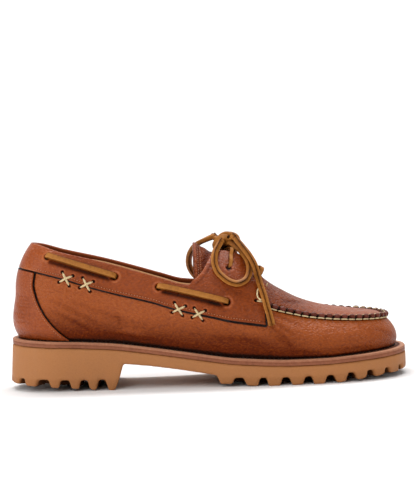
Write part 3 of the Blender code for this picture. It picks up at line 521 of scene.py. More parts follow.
def close_ends(mesh: BMesh) -> None:
    """Fills the open ends of a tube or a wall."""
    rims = [edge for edge in mesh.edges if edge.is_boundary]
    if rims:
        bmesh.ops.holes_fill(mesh, edges=rims, sides=0)


def settled(name: str, mesh: BMesh) -> bpy.types.Mesh:
    """Turns a working mesh into mesh data, and frees it.

    Args:
        name: name of the data.
        mesh: the working mesh.

    Returns:
        The data.
    """
    data = bpy.data.meshes.new(name)
    mesh.to_mesh(data)
    mesh.free()
    return data


def placed(name: str, data: bpy.types.ID) -> bpy.types.Object:
    """An object made of some data and linked to the scene."""
    made = bpy.data.objects.new(name, data)
    bpy.context.scene.collection.objects.link(made)
    return made


def dressed(name: str, mesh: BMesh, finishes: Sequence["Finish"], *stands_for: str) -> bpy.types.Object:
    """Makes a piece of a mesh, gives it its finishes, and lets it ride on the shoe.

    Args:
        name: name of the piece.
        mesh: its closed mesh, which is freed.
        finishes: its finishes, in the order of the faces' indices.
        *stands_for: the solids that it replaces.

    Returns:
        The piece.
    """
    data = settled(name, mesh)
    for finish in finishes:
        data.materials.append(finish.material())
    data.shade_smooth()
    piece = placed(name, data)
    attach(piece, BODY)
    if stands_for:
        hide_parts(*stands_for)
    LOG.info("%s: %d faces", name, len(data.polygons))
    return piece


def lie_of(path: Array, out: Array) -> TwoArrays:
    """Directions across a path.

    Args:
        path: points along the middle line.
        out: for each point, a direction that the section's face looks along.

    Returns:
        The face's direction, square to the path, and the direction across both.
    """
    along = np.gradient(path, axis=0)
    along /= np.linalg.norm(along, axis=-1)[:, None]
    face = out - (out * along).sum(axis=-1)[:, None] * along
    face /= np.linalg.norm(face, axis=-1)[:, None]
    return face, np.cross(along, face)


def swept(path: Array, out: Array, section: Array, tones: Array, taper: Array | None = None) -> BMesh:
    """A closed tube of any section along a path.

    Args:
        path: points along its middle line.
        out: the direction that its face looks along, at each point.
        section: points of the section, first across and then out, in metres.
        tones: the tone of each point of the section.
        taper: scale of the section at each point of the path.

    Returns:
        The mesh of the tube.
    """
    face, across = lie_of(path, out)
    scale = np.ones(len(path)) if taper is None else taper
    rounds, steps = len(section), len(path) - 1

    def shape(around: Array, along: Array) -> TwoArrays:
        """Points of the tube's side."""
        i = np.rint(along * steps).astype(int)
        k = np.rint(around * rounds).astype(int) % rounds
        side, high = section[k, 0] * scale[i], section[k, 1] * scale[i]
        return path[i] + across[i] * side[:, None] + face[i] * high[:, None], tones[k]

    mesh = laid_grid(rounds, steps, shape)
    bmesh.ops.remove_doubles(mesh, verts=mesh.verts, dist=0.005 * MM)
    close_ends(mesh)
    bmesh.ops.recalc_face_normals(mesh, faces=mesh.faces)
    return mesh


def round_section(width: float, sides: int = 8) -> Array:
    """A round section."""
    angle = np.linspace(0, 2 * math.pi, sides, endpoint=False)
    return np.stack([np.cos(angle), np.sin(angle)], axis=-1) * width / 2


def strap_section(width: float, thickness: float, corner: float, turn: float = 0.0) -> Array:
    """A rectangle with rounded corners, four points to a corner.

    Args:
        width: its width.
        thickness: its thickness.
        corner: radius of its corners.
        turn: angle that it is turned by.

    Returns:
        The points, across and out.
    """
    points = []
    for x, y, start in ((1, 1, 0.0), (-1, 1, 0.5), (-1, -1, 1.0), (1, -1, 1.5)):
        for share in (0.0, 0.33, 0.67, 1.0):
            angle = (start + share / 2) * math.pi
            points.append(
                (
                    x * (width / 2 - corner) + corner * math.cos(angle),
                    y * (thickness / 2 - corner) + corner * math.sin(angle),
                )
            )
    flat = np.array(points)
    spin = np.array([[math.cos(turn), math.sin(turn)], [-math.sin(turn), math.cos(turn)]])
    return flat @ spin


def add_mesh(into: BMesh, other: BMesh) -> None:
    """Joins a mesh to another, and frees it."""
    data = settled("joined", other)
    into.from_mesh(data)
    bpy.data.meshes.remove(data)


# Finishes


class Grain(Enum):
    """How a finish's surface is made up."""

    PEBBLE = "pebble"
    SMOOTH = "smooth"
    FIBRE = "fibre"
    TWIST = "twist"


@dataclass
class Nodes:
    """The nodes of one material."""

    tree: bpy.types.NodeTree

    def add(self, kind: str, **sockets: object) -> bpy.types.Node:
        """A node, with values or other nodes' sockets on its inputs.

        Args:
            kind: the node's type.
            **sockets: an input's name, its blanks as underscores, or a setting in small letters.

        Returns:
            The node.
        """
        node = self.tree.nodes.new(kind)
        for name, value in sockets.items():
            if name[0].islower():
                setattr(node, name, value)
            else:
                self.put(value, node.inputs[name.replace("_", " ")])
        return node

    def put(self, value: object, socket: Socket) -> None:
        """Links another node's socket to an input, or sets a plain value on it."""
        if isinstance(value, Socket):
            self.tree.links.new(value, socket)
        else:
            socket.default_value = value

    def sum(self, *terms: tuple[Socket, float, float]) -> Socket:
        """Adds values up round a half.

        Args:
            *terms: each a value, its middle and its weight.

        Returns:
            The sum.
        """
        total: object = 0.5
        for value, middle, weight in terms:
            scaled = self.add("ShaderNodeMath", operation="MULTIPLY_ADD")
            joined = self.add("ShaderNodeMath", operation="ADD")
            for part, socket in zip((value, weight, -middle * weight), scaled.inputs):
                self.put(part, socket)
            self.put(scaled.outputs[0], joined.inputs[0])
            self.put(total, joined.inputs[1])
            total = joined.outputs[0]
        return total

    def ramp(self, value: Socket, stops: Sequence[tuple[float, Colour]]) -> Socket:
        """A colour for a value.

        Args:
            value: the value.
            stops: places from 0 to 1 and display colours, in rising order.

        Returns:
            The colour.
        """
        node = self.tree.nodes.new("ShaderNodeValToRGB")
        self.tree.links.new(value, node.inputs["Fac"])
        line = node.color_ramp.elements
        while len(line) < len(stops):
            line.new(0.5)
        for stop, (at, colour) in zip(line, stops):
            stop.position = at
            stop.color = (*(linear(level) for level in colour), 1.0)
        return node.outputs["Color"]


def linear(level: int) -> float:
    """Linear value of one channel of a display colour."""
    share = level / 255
    return share / 12.92 if share <= 0.04045 else ((share + 0.055) / 1.055) ** 2.4


@dataclass(frozen=True)
class Finish:
    """A finish: its display colours from a hole or painted shadow to a raw edge, and the grain of its
    surface.
    """

    name: str
    slot: str  # the record's material slot
    # hole: the darkest colour, for holes, seams and painted shadow
    hole: Colour
    low: Colour
    base: Colour
    high: Colour
    raw: Colour
    roughness: float
    grain: Grain
    cell: float  # size of one cell of the grain, in metres
    depth: float  # height of the grain, in metres
    mottle: float = 0.14  # how much the colour wanders over the piece
    patch: float = 30 * MM  # size of a patch of one colour
    specular: float = 0.5

    def material(self) -> bpy.types.Material:
        """Builds the material, once.

        Returns:
            The material.
        """
        found = bpy.data.materials.get(self.name)
        if found:
            return found
        made = bpy.data.materials.new(self.name)
        made.use_nodes = True
        nodes = Nodes(made.node_tree)
        shader = made.node_tree.nodes["Principled BSDF"]
        place = nodes.add("ShaderNodeTexCoord").outputs["Object"]
        tone = nodes.add("ShaderNodeAttribute", attribute_name=TONE).outputs["Fac"]
        noise = "ShaderNodeTexNoise"
        patches = nodes.add(noise, Vector=place, Scale=1 / self.patch, Detail=4.0, Roughness=0.55)
        specks = nodes.add(noise, Vector=place, Scale=1 / (5 * MM), Detail=5.0, Roughness=0.6)
        relief, tint = self.relief(nodes, place)
        # near a crack the colour darkens: painted shade at the edges of covering pieces
        near = nodes.add("ShaderNodeAttribute", attribute_name=CRACK_SHADE).outputs["Fac"]
        crack = nodes.add(
            "ShaderNodeMapRange", interpolation_type="SMOOTHSTEP", Value=near, From_Min=1.15, From_Max=1.85
        )
        value = nodes.sum(
            (tone, 0.0, 0.5),
            (crack.outputs["Result"], 0.0, -0.75),
            (patches.outputs["Fac"], 0.5, self.mottle),
            (specks.outputs["Fac"], 0.5, self.mottle * 0.7),
            (relief, 0.5, tint),
        )
        stops = ((0.0, self.hole), (0.25, self.low), (0.5, self.base), (0.75, self.high), (1.0, self.raw))
        dull = 0.15 * self.specular
        gloss = nodes.add(
            "ShaderNodeMapRange", Value=tone, From_Min=-0.5, From_Max=0.1, To_Min=dull, To_Max=self.specular
        )
        nodes.put(gloss.outputs["Result"], shader.inputs["Specular IOR Level"])
        nodes.put(nodes.ramp(value, stops), shader.inputs["Base Color"])
        rough = nodes.add("ShaderNodeMapRange", Value=specks.outputs["Fac"], From_Min=0.3, From_Max=0.7)
        nodes.put(self.roughness - 0.07, rough.inputs["To Min"])
        nodes.put(self.roughness + 0.09, rough.inputs["To Max"])
        nodes.put(rough.outputs["Result"], shader.inputs["Roughness"])
        bump = nodes.add("ShaderNodeBump", Height=relief, Strength=1.0, Distance=self.depth)
        nodes.put(bump.outputs["Normal"], shader.inputs["Normal"])
        return made

    def relief(self, nodes: Nodes, place: Socket) -> tuple[Socket, float]:
        """The height of the grain.

        Args:
            nodes: the material's nodes.
            place: where a point lies on the piece.

        Returns:
            A value about 0.5, and how strongly it tints the colour.
        """
        if self.grain is Grain.TWIST:
            along = nodes.add("ShaderNodeUVMap", uv_map="Laid").outputs["UV"]
            turned = nodes.add("ShaderNodeMapping", Vector=along, Scale=(1.0, 6.0, 1.0))
            wave = nodes.add("ShaderNodeTexWave", wave_type="BANDS", bands_direction="DIAGONAL", Scale=1.2)
            nodes.put(turned.outputs["Vector"], wave.inputs["Vector"])
            return wave.outputs["Fac"], 0.35
        if self.grain is Grain.FIBRE:
            fine = nodes.add("ShaderNodeTexNoise", Scale=1 / self.cell, Detail=6.0, Roughness=0.7)
            nodes.put(place, fine.inputs["Vector"])
            return fine.outputs["Fac"], 0.35
        bent = nodes.add("ShaderNodeTexNoise", Vector=place, Scale=1 / (4 * self.cell), Detail=2.0)
        moved = nodes.add("ShaderNodeVectorMath", operation="MULTIPLY_ADD", Vector=bent.outputs["Color"])
        moved.inputs[1].default_value = (2.5 * self.cell,) * 3
        nodes.put(place, moved.inputs[2])
        slant = nodes.add("ShaderNodeMapping", Vector=moved.outputs["Vector"], Scale=(1.0, 1.0, 1.7))
        slant.inputs["Rotation"].default_value = (0.0, math.radians(28), 0.0)
        turned = slant.outputs["Vector"]
        cells = nodes.add("ShaderNodeTexVoronoi", Vector=turned, Scale=1 / self.cell, feature="SMOOTH_F1")
        fine = nodes.add("ShaderNodeTexNoise", Vector=place, Scale=3 / self.cell, Detail=3.0)
        value = nodes.sum((cells.outputs["Distance"], 0.45, -0.9), (fine.outputs["Fac"], 0.5, 0.35))
        return value, (0.2 if self.grain is Grain.PEBBLE else 0.1)


TAN = Finish(
    "tan_pebbled_leather", "tan_leather", (28, 10, 5), (92, 32, 5), (156, 73, 16), (188, 106, 50),
    (204, 146, 118), 0.4, Grain.PEBBLE, 1.9 * MM, 0.85 * MM, mottle=0.08, specular=0.34,
)
BAND_TAN = Finish(
    "tan_smooth_leather", "tan_leather", (28, 10, 4), (92, 34, 6), (148, 65, 10), (184, 100, 46),
    (200, 140, 112), 0.38, Grain.PEBBLE, 1.9 * MM, 0.42 * MM, mottle=0.08, specular=0.36,
)
LINING = Finish(
    "golden_lining_leather", "lining_leather", (60, 34, 18), (132, 86, 44), (176, 122, 70), (196, 144, 90),
    (206, 160, 110), 0.66, Grain.SMOOTH, 0.8 * MM, 0.04 * MM,
)
RAWHIDE = Finish(
    "golden_rawhide", "rawhide", (30, 14, 4), (96, 52, 14), (164, 102, 36), (190, 128, 56), (214, 160, 90),
    0.55, Grain.FIBRE, 1.6 * MM, 0.10 * MM, mottle=0.3, patch=14 * MM, specular=0.3,
)
BROWN_LINING = Finish(
    "brown_lining_leather", "lining_leather", (30, 10, 5), (90, 36, 14), (138, 66, 30), (160, 84, 42),
    (186, 108, 64), 0.6, Grain.SMOOTH, 0.8 * MM, 0.04 * MM, specular=0.12,
)
# a darker copy of the tan leather: painted shade for the puckers' deep folds
GATHERED_SHADED = Finish(
    "gathered_leather_shaded", "tan_leather", (20, 8, 5), (58, 20, 12), (104, 46, 30), (140, 74, 54),
    (170, 104, 80), 0.4, Grain.SMOOTH, 0.8 * MM, 0.05 * MM, specular=0.3,
)
WELT = Finish(
    "pink_brown_midsole_leather", "midsole_leather", (36, 18, 10), (112, 60, 38), (152, 92, 62),
    (188, 132, 98), (206, 160, 128), 0.62, Grain.FIBRE, 2.2 * MM, 0.10 * MM, mottle=0.22,
)
GUM = Finish(
    "moulded_gum_rubber", "gum_rubber", (64, 34, 14), (126, 76, 38), (170, 110, 60), (188, 128, 78),
    (204, 150, 106), 0.62, Grain.SMOOTH, 1.1 * MM, 0.03 * MM, mottle=0.10, patch=60 * MM,
)
THREAD = Finish(
    "cream_waxed_thread", "rawhide", (110, 84, 50), (176, 146, 96), (226, 202, 152), (240, 222, 180),
    (248, 236, 204), 0.55, Grain.TWIST, 1.0 * MM, 0.12 * MM, mottle=0.12, patch=8 * MM,
)
TAN_THREAD = Finish(
    "tan_fine_thread", "tan_leather", (90, 44, 24), (160, 98, 62), (208, 146, 104), (226, 170, 130),
    (236, 186, 146), 0.5, Grain.TWIST, 0.6 * MM, 0.05 * MM, mottle=0.1,
)
DARK_THREAD = Finish(
    "dark_welt_thread", "midsole_leather", (18, 12, 8), (34, 20, 14), (50, 30, 20), (84, 52, 34),
    (110, 70, 46), 0.6, Grain.TWIST, 0.8 * MM, 0.05 * MM, mottle=0.1,
)


# Leather pieces


def edged(count: int, edge: float) -> Array:
    """Shares from 0 to 1 in even steps, with closer ones inside `edge` of both ends."""
    near = np.array([0.0, 0.12, 0.42, 1.0]) * edge
    return np.concatenate([near, np.linspace(edge, 1 - edge, count)[1:-1], 1 - near[::-1]])


def edge_round(share: Array, edge: float) -> Array:
    """How full a rounded edge is: 0 at the very edge, 1 from `edge` inwards."""
    inwards = np.clip(np.minimum(share, 1 - share) / edge, 0, 1)
    return np.sqrt(np.clip(1 - (1 - inwards) ** 2, 0, 1))


def leaf(along: Array, up: Array, lay: Callable[[Array, Array, Array], TwoArrays]) -> BMesh:
    """A closed leaf of leather between an outer and an inner face that meet at its edges.

    Args:
        along: shares of its columns.
        up: shares of its rows.
        lay: gives points and tones for shares along and up and for the face, 1 outside and -1 inside.

    Returns:
        The mesh of the leaf.
    """
    columns, rows = len(along) - 1, len(up) - 1

    def shape(u: Array, v: Array) -> TwoArrays:
        """Outer face in the first half of the rows, inner face in the second."""
        i = np.rint(u * columns).astype(int)
        j = np.rint(v * 2 * rows).astype(int)
        outer = j <= rows
        return lay(along[i], up[np.where(outer, j, 2 * rows - j)], np.where(outer, 1.0, -1.0))

    mesh = laid_grid(columns, 2 * rows, shape)
    weld(mesh)
    return mesh


def face_shares(mesh: BMesh) -> list[tuple[bmesh.types.BMFace, float, float]]:
    """Each face with its middle's place on the grid that it was laid from.

    Args:
        mesh: a mesh from `laid_grid`.

    Returns:
        For each face, its shares along and up.
    """
    layer = mesh.loops.layers.uv["Laid"]
    found = []
    for face in mesh.faces:
        spots = [loop[layer].uv for loop in face.loops]
        found.append((face, sum(s.x for s in spots) / len(spots), sum(s.y for s in spots) / len(spots)))
    return found


@dataclass(frozen=True)
class Crease:
    """A soft trough in the leather, or a ridge where its depth is negative, placed on the last."""

    side: Side
    start: Pair  # station and level
    end: Pair
    depth: float  # mm
    width: float  # mm
    bow: float = 0.0  # how far its middle bends, in levels

    def press(self, last: Last, points: Array) -> Array:
        """How far the crease lifts some points.

        Args:
            last: the last.
            points: points of the bare last.

        Returns:
            Lifts in metres, below 0 in a trough.
        """
        share = np.linspace(0, 1, 9)
        station = (self.start[0] + (self.end[0] - self.start[0]) * share) * MM
        level = self.start[1] + (self.end[1] - self.start[1]) * share + self.bow * 4 * share * (1 - share)
        line = last.point(last.ring_place(station, self.side.value), level)
        width = self.width * MM
        lift = np.zeros(len(points))
        low, high = line.min(axis=0) - 3 * width, line.max(axis=0) + 3 * width
        near = np.flatnonzero(((points > low) & (points < high)).all(axis=-1))
        if not len(near):
            return lift
        spots = points[near]
        best, where = np.full(len(near), np.inf), np.zeros(len(near))
        for k, (a, b) in enumerate(zip(line, line[1:])):
            step = b - a
            t = np.clip((spots - a) @ step / (step @ step), 0, 1)
            distance = np.linalg.norm(spots - a - t[:, None] * step, axis=-1)
            closer = distance < best
            best = np.where(closer, distance, best)
            where = np.where(closer, (k + t) / (len(line) - 1), where)
        taper = np.sqrt(np.clip(np.sin(math.pi * np.clip(where, 0.02, 0.98)), 0, 1))
        lift[near] = -self.depth * MM * hump(best, width) * taper
        return lift


def creases(side: Side, *rows: tuple[float, ...]) -> tuple[Crease, ...]:
    """Creases of one side, each as start station and level, end station and level, depth, width and bow."""
    return tuple(Crease(side, row[0:2], row[2:4], *row[4:]) for row in rows)


@dataclass(frozen=True)
class Hole:
    """A punched hole or slot on a side of the shoe, for a lace or a stitch."""

    side: Side
    station: float
    height: float
    radius: float  # mm
    depth: float = 0.8  # mm
    rim: float = 0.25  # tone of the rim round it

    def centre(self, last: Last, lift: float) -> Array:
        """The middle of the hole, `lift` outside the last.

        Args:
            last: the last.
            lift: in metres.

        Returns:
            The point.
        """
        ring = np.array([last.ring_place(self.station * MM, self.side.value)])
        level = last.level_at(ring, np.array([self.height * MM]))
        return last.skin(ring, level, lift)[0]

    def punch(self, points: Array, centre: Array) -> TwoArrays:
        """The hole's pit and rim.

        Args:
            points: points of the leather.
            centre: the hole's middle.

        Returns:
            How far each point is lifted, and its tone.
        """
        radius = self.radius * MM
        distance = np.linalg.norm(points - centre, axis=-1)
        rim = hump(distance - 1.45 * radius, 0.3 * radius)
        # the pit's dark tone is painted shade inside the hole
        pit = 1 - soft_step((distance / radius - 0.55) / 0.6)
        return -self.depth * MM * pit + 0.5 * self.rim * MM * rim, -1.5 * pit + self.rim * rim


X_STITCHES = ((46.2, 83.3), (61.3, 78.6), (128.8, 58.2), (143.3, 54.1))
SIDE_LACES = {"rear": (31.2, 99.8, 81.6, 83.9), "front": (115.2, 74.7, 163.8, 62.5)}
EYELETS = ((166.2, 83.4), (184.8, 76.0))


def slope_at(station: float, table: Table) -> Array:
    """Unit direction, along and up, of a line of heights at a station in millimetres."""
    rise = float(table.read("height", (station + 1) * MM) - table.read("height", (station - 1) * MM)) / 2
    return np.array([1.0, rise]) / math.hypot(1.0, rise)


def cross_corners(last: Last, station: float, height: float, reach: float = 1.0) -> list[Pair]:
    """Ends of a cross stitch.

    Args:
        last: the last.
        station: of its middle, in mm.
        height: of its middle, in mm.
        reach: relative size of the cross.

    Returns:
        Station and height of the top rear, bottom front, top front and bottom rear ends.
    """
    run = slope_at(station, last.band_seam)
    square = np.array([-run[1], run[0]])
    centre = np.array([station, height])
    spread = ((-3.6, 3.5), (3.5, -3.5), (3.9, 3.2), (-3.8, -3.1))
    return [tuple(centre + (run * a + square * b) * reach) for a, b in spread]


@dataclass(frozen=True)
class MocSeam:
    """The hand-sewn seam round the toe, where the vamp is gathered on to the apron."""

    last: Last
    start: float = 191 * MM
    pitch: float = 6.0 * MM
    lip: float = 2.3 * MM  # height of the standing lip
    lip_middle: float = 2.5 * MM  # its distance above the shoulder
    lip_width: float = 1.55 * MM
    groove: float = 0.3 * MM  # the thread's distance above the shoulder

    def from_toe(self, ring: Array) -> Array:
        """Place from the toe tip: positive on the lateral side, negative on the medial."""
        return (ring + 2) % 2 - 1

    def table(self) -> tuple[Array, Array, float]:
        """The way round the seam.

        Returns:
            Places from the toe tip, the distance sewn at each, and the exact pitch.
        """
        reach = 1 - float(self.last.ring_place(self.start, 1))
        place = np.linspace(-reach, reach, 400)
        run = run_of(self.last.point(place - 1, np.full_like(place, 1.08)))
        return place, run, run[-1] / round(run[-1] / self.pitch)

    def phase(self, ring: Array) -> Array:
        """How many stitches lie between the medial end and a place."""
        place, run, pitch = self.table()
        return np.interp(self.from_toe(ring), place, run) / pitch

    def raised(self, ring: Array, level: Array, point: Array) -> TwoArrays:
        """The seam's relief.

        Args:
            ring: places round the shoe.
            level: levels of the last.
            point: the points of the last there.

        Returns:
            How far each point stands out, and its tone.
        """
        station = self.last.ring_station((ring + 1) % 2 - 1)
        shown = soft_step((station - self.start + 2 * MM) / (9 * MM))
        near = (shown > 0) & (level > 0.85)
        lift, tone = np.zeros(len(ring)), np.zeros(len(ring))
        above = np.linalg.norm(point[near] - self.last.point(ring[near], 1.0), axis=-1)
        above = np.where(level[near] < 1, -above, above)
        share = self.phase(ring[near]) % 1.0
        dent = hump(np.minimum(share, 1 - share), 0.15)
        lip = hump(above - self.lip_middle, self.lip_width)
        groove = hump(above - self.groove, 0.8 * MM)
        back = hump(above - self.lip_middle - 2.3 * MM, 1.0 * MM)
        face = hump(above - 1.5 * MM, 0.95 * MM)
        scallop = hump(above + 1.6 * MM, 1.6 * MM)
        lift[near] = shown[near] * (
            self.lip * lip * (1 - 0.42 * dent)
            - 0.55 * MM * groove
            - 0.7 * MM * back
            - 0.55 * MM * dent * face
            - 0.35 * MM * dent * scallop
        )
        # tone: painted shade in the dents, the groove, behind the lip, and over the lip where the puckers
        # cover it
        tone[near] = shown[near] * (
            -1.25 * dent * face - 0.5 * groove - 0.35 * back - 0.9 * lip - 0.12 * dent * scallop
        )
        return lift, tone


LATERAL, MEDIAL = Side.LATERAL, Side.MEDIAL
UPPER_CREASES = creases(
    LATERAL,
    # folds of the quarter behind the cross stitches, fanning forwards and down from the counter
    (33, 0.86, 70, 0.42, 0.35, 2.0, 0.06), (36, 0.62, 66, 0.25, 0.32, 1.9, 0.04),
    (48, 0.90, 92, 0.55, 0.28, 2.2, 0.03), (70, 0.20, 120, 0.13, 0.30, 2.2, 0.02),
    (82, 0.78, 86, 0.42, 0.22, 1.8), (60, 0.12, 100, 0.07, 0.25, 1.6),
    (84, 0.36, 104, 0.28, -0.30, 3.2),
    # the pull of the flap on the vamp
    (193, 0.80, 214, 0.52, 0.45, 1.9, 0.05), (194, 0.66, 210, 0.40, 0.38, 1.7, 0.04),
    (192, 0.93, 222, 0.74, 0.35, 1.9, 0.04), (196, 0.50, 214, 0.26, 0.28, 1.8, 0.02),
    (150, 0.36, 190, 0.30, 0.25, 2.6, 0.03), (168, 0.55, 196, 0.48, -0.25, 3.0),
    # slack over the toe box
    (272, 0.80, 290, 0.34, 0.30, 2.2, 0.02), (262, 0.86, 276, 0.50, 0.22, 2.0),
    (232, 0.18, 276, 0.15, 0.30, 2.4, 0.02), (205, 0.20, 236, 0.13, 0.28, 2.2),
    # the instep
    (206, 1.45, 222, 1.75, 0.40, 3.0),
) + creases(
    MEDIAL,
    (206, 1.42, 220, 1.78, 0.40, 3.0), (36, 0.82, 74, 0.40, 0.35, 2.1, 0.05),
    (40, 0.55, 70, 0.22, 0.30, 1.9, 0.04), (95, 0.70, 128, 0.52, 0.32, 2.4, 0.05),
    (110, 0.40, 150, 0.30, 0.35, 2.6, 0.03), (193, 0.82, 216, 0.55, 0.45, 1.9, 0.05),
    (194, 0.64, 212, 0.36, 0.38, 1.8, 0.03), (232, 0.20, 274, 0.15, 0.30, 2.4),
    (268, 0.82, 284, 0.42, 0.25, 2.1),
)
BAND_CREASES = creases(
    LATERAL,
    (150, 1.10, 164, 0.86, 0.30, 2.2, 0.02), (160, 1.30, 182, 1.16, 0.25, 3.0),
    (13, 1.26, 24, 1.22, -0.55, 3.0), (92, 1.02, 110, 0.98, -0.30, 3.6),
) + creases(
    MEDIAL,
    (13, 1.26, 24, 1.22, -0.55, 3.0), (150, 1.12, 164, 0.88, 0.30, 2.2, 0.02),
)
COUNTER_CREASES = tuple(
    Crease(side, (10 + lean, level), (26 - lean, level - 0.035), depth, 1.15, 0.012)
    for side in Side
    for level, depth, lean in (
        (0.90, 0.30, 1.0), (0.82, 0.42, 3.0), (0.75, 0.38, 0.0), (0.68, 0.50, 2.0),
        (0.61, 0.44, 4.0), (0.54, 0.50, 1.0), (0.47, 0.40, 3.0), (0.38, 0.32, 2.0),
    )
)


@dataclass(frozen=True)
class Upper:
    """Vamp, quarters and apron: one lasted wall, open at the collar, at the throat and underneath."""

    last: Last
    seam: MocSeam
    columns: int = 680
    wall_rows: int = 60
    crown_rows: int = 60
    inner_rows: int = 14
    bead: float = 0.5 * MM  # roundness of its top edge
    crease_gain: float = 1.5
    foot_shade_heel: float = 0.56  # painted shade: how dark the foot of the wall is behind the toe
    # painted shade: how dark the foot of the wall is at the toe
    foot_shade_toe: float = 0.28
    lining_stand: float = 0.9 * MM  # how far the lining stands above the collar beside the throat

    def rows(self) -> tuple[Array, Array, Array, Array]:
        """The rows of the wall, from the foot over the rim and back.

        Returns:
            Wall share, crown share, lift and bead of each row.
        """
        wall = np.linspace(0, 1, self.wall_rows) ** 1.1
        crown = np.linspace(0, 1, self.crown_rows)[1:] ** 1.25
        rim = np.array([(-0.12, 0.45), (-0.35, 0.85), (-0.65, 0.85), (-0.88, 0.45)])
        down = np.linspace(2, 0, self.inner_rows)
        blank = np.zeros
        wall_share = [wall, np.ones(len(crown)), np.ones(len(rim)), np.clip(down, 0, 1), [0.0]]
        crown_share = [blank(len(wall)), crown, np.ones(len(rim)), np.clip(down - 1, 0, 1), [0.0]]
        lift = [blank(len(wall)), blank(len(crown)), rim[:, 0], -np.ones(len(down)), [0.0]]
        bead = [blank(len(wall)), blank(len(crown)), rim[:, 1], blank(len(down)), [0.0]]
        return tuple(np.concatenate(part) for part in (wall_share, crown_share, lift, bead))

    def seams(self, ring: Array, point: Array) -> TwoArrays:
        """The channels under the collar band's lower edge, before the counter and before the flaps.

        Args:
            ring: places round the shoe.
            point: the points of the last there.

        Returns:
            How far each point is pressed in, and its nearness to a crack, which the finishes darken as
            painted shade.
        """
        station = self.last.ring_station(ring) / MM
        height = point[:, 2] / MM
        band = self.last.band_seam.read("height", station * MM)
        foot = self.last.midsole_top(station * MM) / MM + 1.4
        share = np.clip((height - foot) / np.maximum(band - foot, 1), 0, 1)
        front = COUNTER_EDGE.read("station", share)
        away = np.full(len(ring), 9.0)
        crack = np.zeros(len(ring))
        thin = 0.45 * (1 - soft_step((station - 60) / 70))
        # each row paints shade near one crack: under the band's lower edge, before the counter, before the
        # flaps
        for distance, shown, narrow, darkest in (
            (band - height, station < 192.6, thin, 4.0),
            (station - front, height < band, 0.75, 1.66),
            (station - 192.0, (height > band - 0.8) & (height < 66), 0.0, 4.0),
        ):
            near = shown & (distance > -1.2)
            away = np.where(near, np.minimum(away, distance), away)
            crack = np.maximum(crack, near * np.clip(3 - distance - narrow, 0, darkest))
        return -0.5 * MM * hump(away - 0.4, 0.8), crack

    def build(self) -> None:
        """Builds the upper."""
        last = self.last
        wall, crown, lifts, beads = self.rows()
        rings = np.linspace(-1, 1, self.columns + 1)
        tops = last.upper_top(rings)
        rim = last.point(rings, tops)[:, 2]
        last_row = len(wall) - 1

        def shape(around: Array, up: Array) -> TwoArrays:
            """The wall with its creases, seams and puckers."""
            i = np.rint(around * self.columns).astype(int)
            j = np.rint(up * last_row).astype(int)
            ring = rings[i]
            level = wall[j] + (tops[i] - 1) * crown[j]
            bare = last.point(ring, level)
            out = last.outward(ring, level)
            outer = (lifts[j] == 0) & (beads[j] == 0)
            relief, tone = self.seam.raised(ring, level, bare)
            channel, crack = self.seams(ring, bare)
            creases = self.crease_gain * sum(crease.press(last, bare) for crease in UPPER_CREASES)
            holes = np.zeros(len(ring))
            for side in Side:
                for station, height in X_STITCHES:
                    for corner in cross_corners(last, station, height, 1.12)[1::2]:
                        hole = Hole(side, *corner, 1.3)
                        push, shade = hole.punch(bare, hole.centre(last, 0.0))
                        holes += push
                        tone += shade
            station = last.ring_station(ring) / MM
            # painted shade: the wall darkens towards its foot, more behind the toe than at it
            low = self.foot_shade_heel - (self.foot_shade_heel - self.foot_shade_toe) * soft_step((station - 190) / 60)
            low = low * (1 - soft_step(level / 0.85))
            # painted shade: the apron darker near the flaps, fading towards the toe
            apron = (level > 1) * soft_step((station - 188) / 6)
            low += apron * (0.1 + 0.25 * (1 - soft_step((station - 200) / 50)))
            # painted shade: a near-black strip along the very foot of the wall, above the midsole
            low += 0.7 * (1 - soft_step((level - 0.02) / 0.09))
            # painted shade inside the collar, deeper than 1.6 mm below its rim
            under = (tops[i] > 1) * soft_step(((rim[i] - bare[:, 2]) / MM - 1.6) / 2.0)
            # creases paint shade in their troughs and highlight on their ridges
            tone = np.where(outer, tone - low + 0.3 * creases / MM, -0.8 * under)
            soft = np.where(outer, relief + channel + creases + holes, 0.0)
            point = bare + out * (soft + lifts[j] * last.wall)[:, None]
            shown = soft_step((station - 60) / 20) * (1 - soft_step((station - 141) / 4)) * (ring < 0)
            stand = self.bead + self.lining_stand * shown
            point[:, 2] += beads[j] * stand
            return point, np.stack([tone, crack * outer], axis=-1)

        mesh = laid_grid(self.columns, last_row, shape)
        outer_rows = self.wall_rows + self.crown_rows - 2
        closed = last.ring_place(last.throat_front + 0.2 * MM, 1)
        stray = []
        strip = [float(last.ring_place(s * MM, Side.LATERAL.value)) for s in (142, 66)]
        for face, u, v in face_shares(mesh):
            row = v * last_row
            inside = row > outer_rows
            in_rim = outer_rows < row < outer_rows + 5
            golden = in_rim and strip[0] < 2 * u - 1 < strip[1]
            face.material_index = 2 if golden else int(inside)
            if in_rim and abs(2 * u - 1) > closed:
                stray.append(face)
        bmesh.ops.delete(mesh, geom=stray, context="FACES")
        weld(mesh, 0.02 * MM)
        dressed("leather_upper", mesh, (TAN, BROWN_LINING, LINING), "upper")


COUNTER_EDGE = Table("share station", (
    (0, 47), (0.11, 41), (0.23, 35.5), (0.43, 28.5), (0.62, 24), (0.81, 22), (1, 22.5),
), unit=1.0)


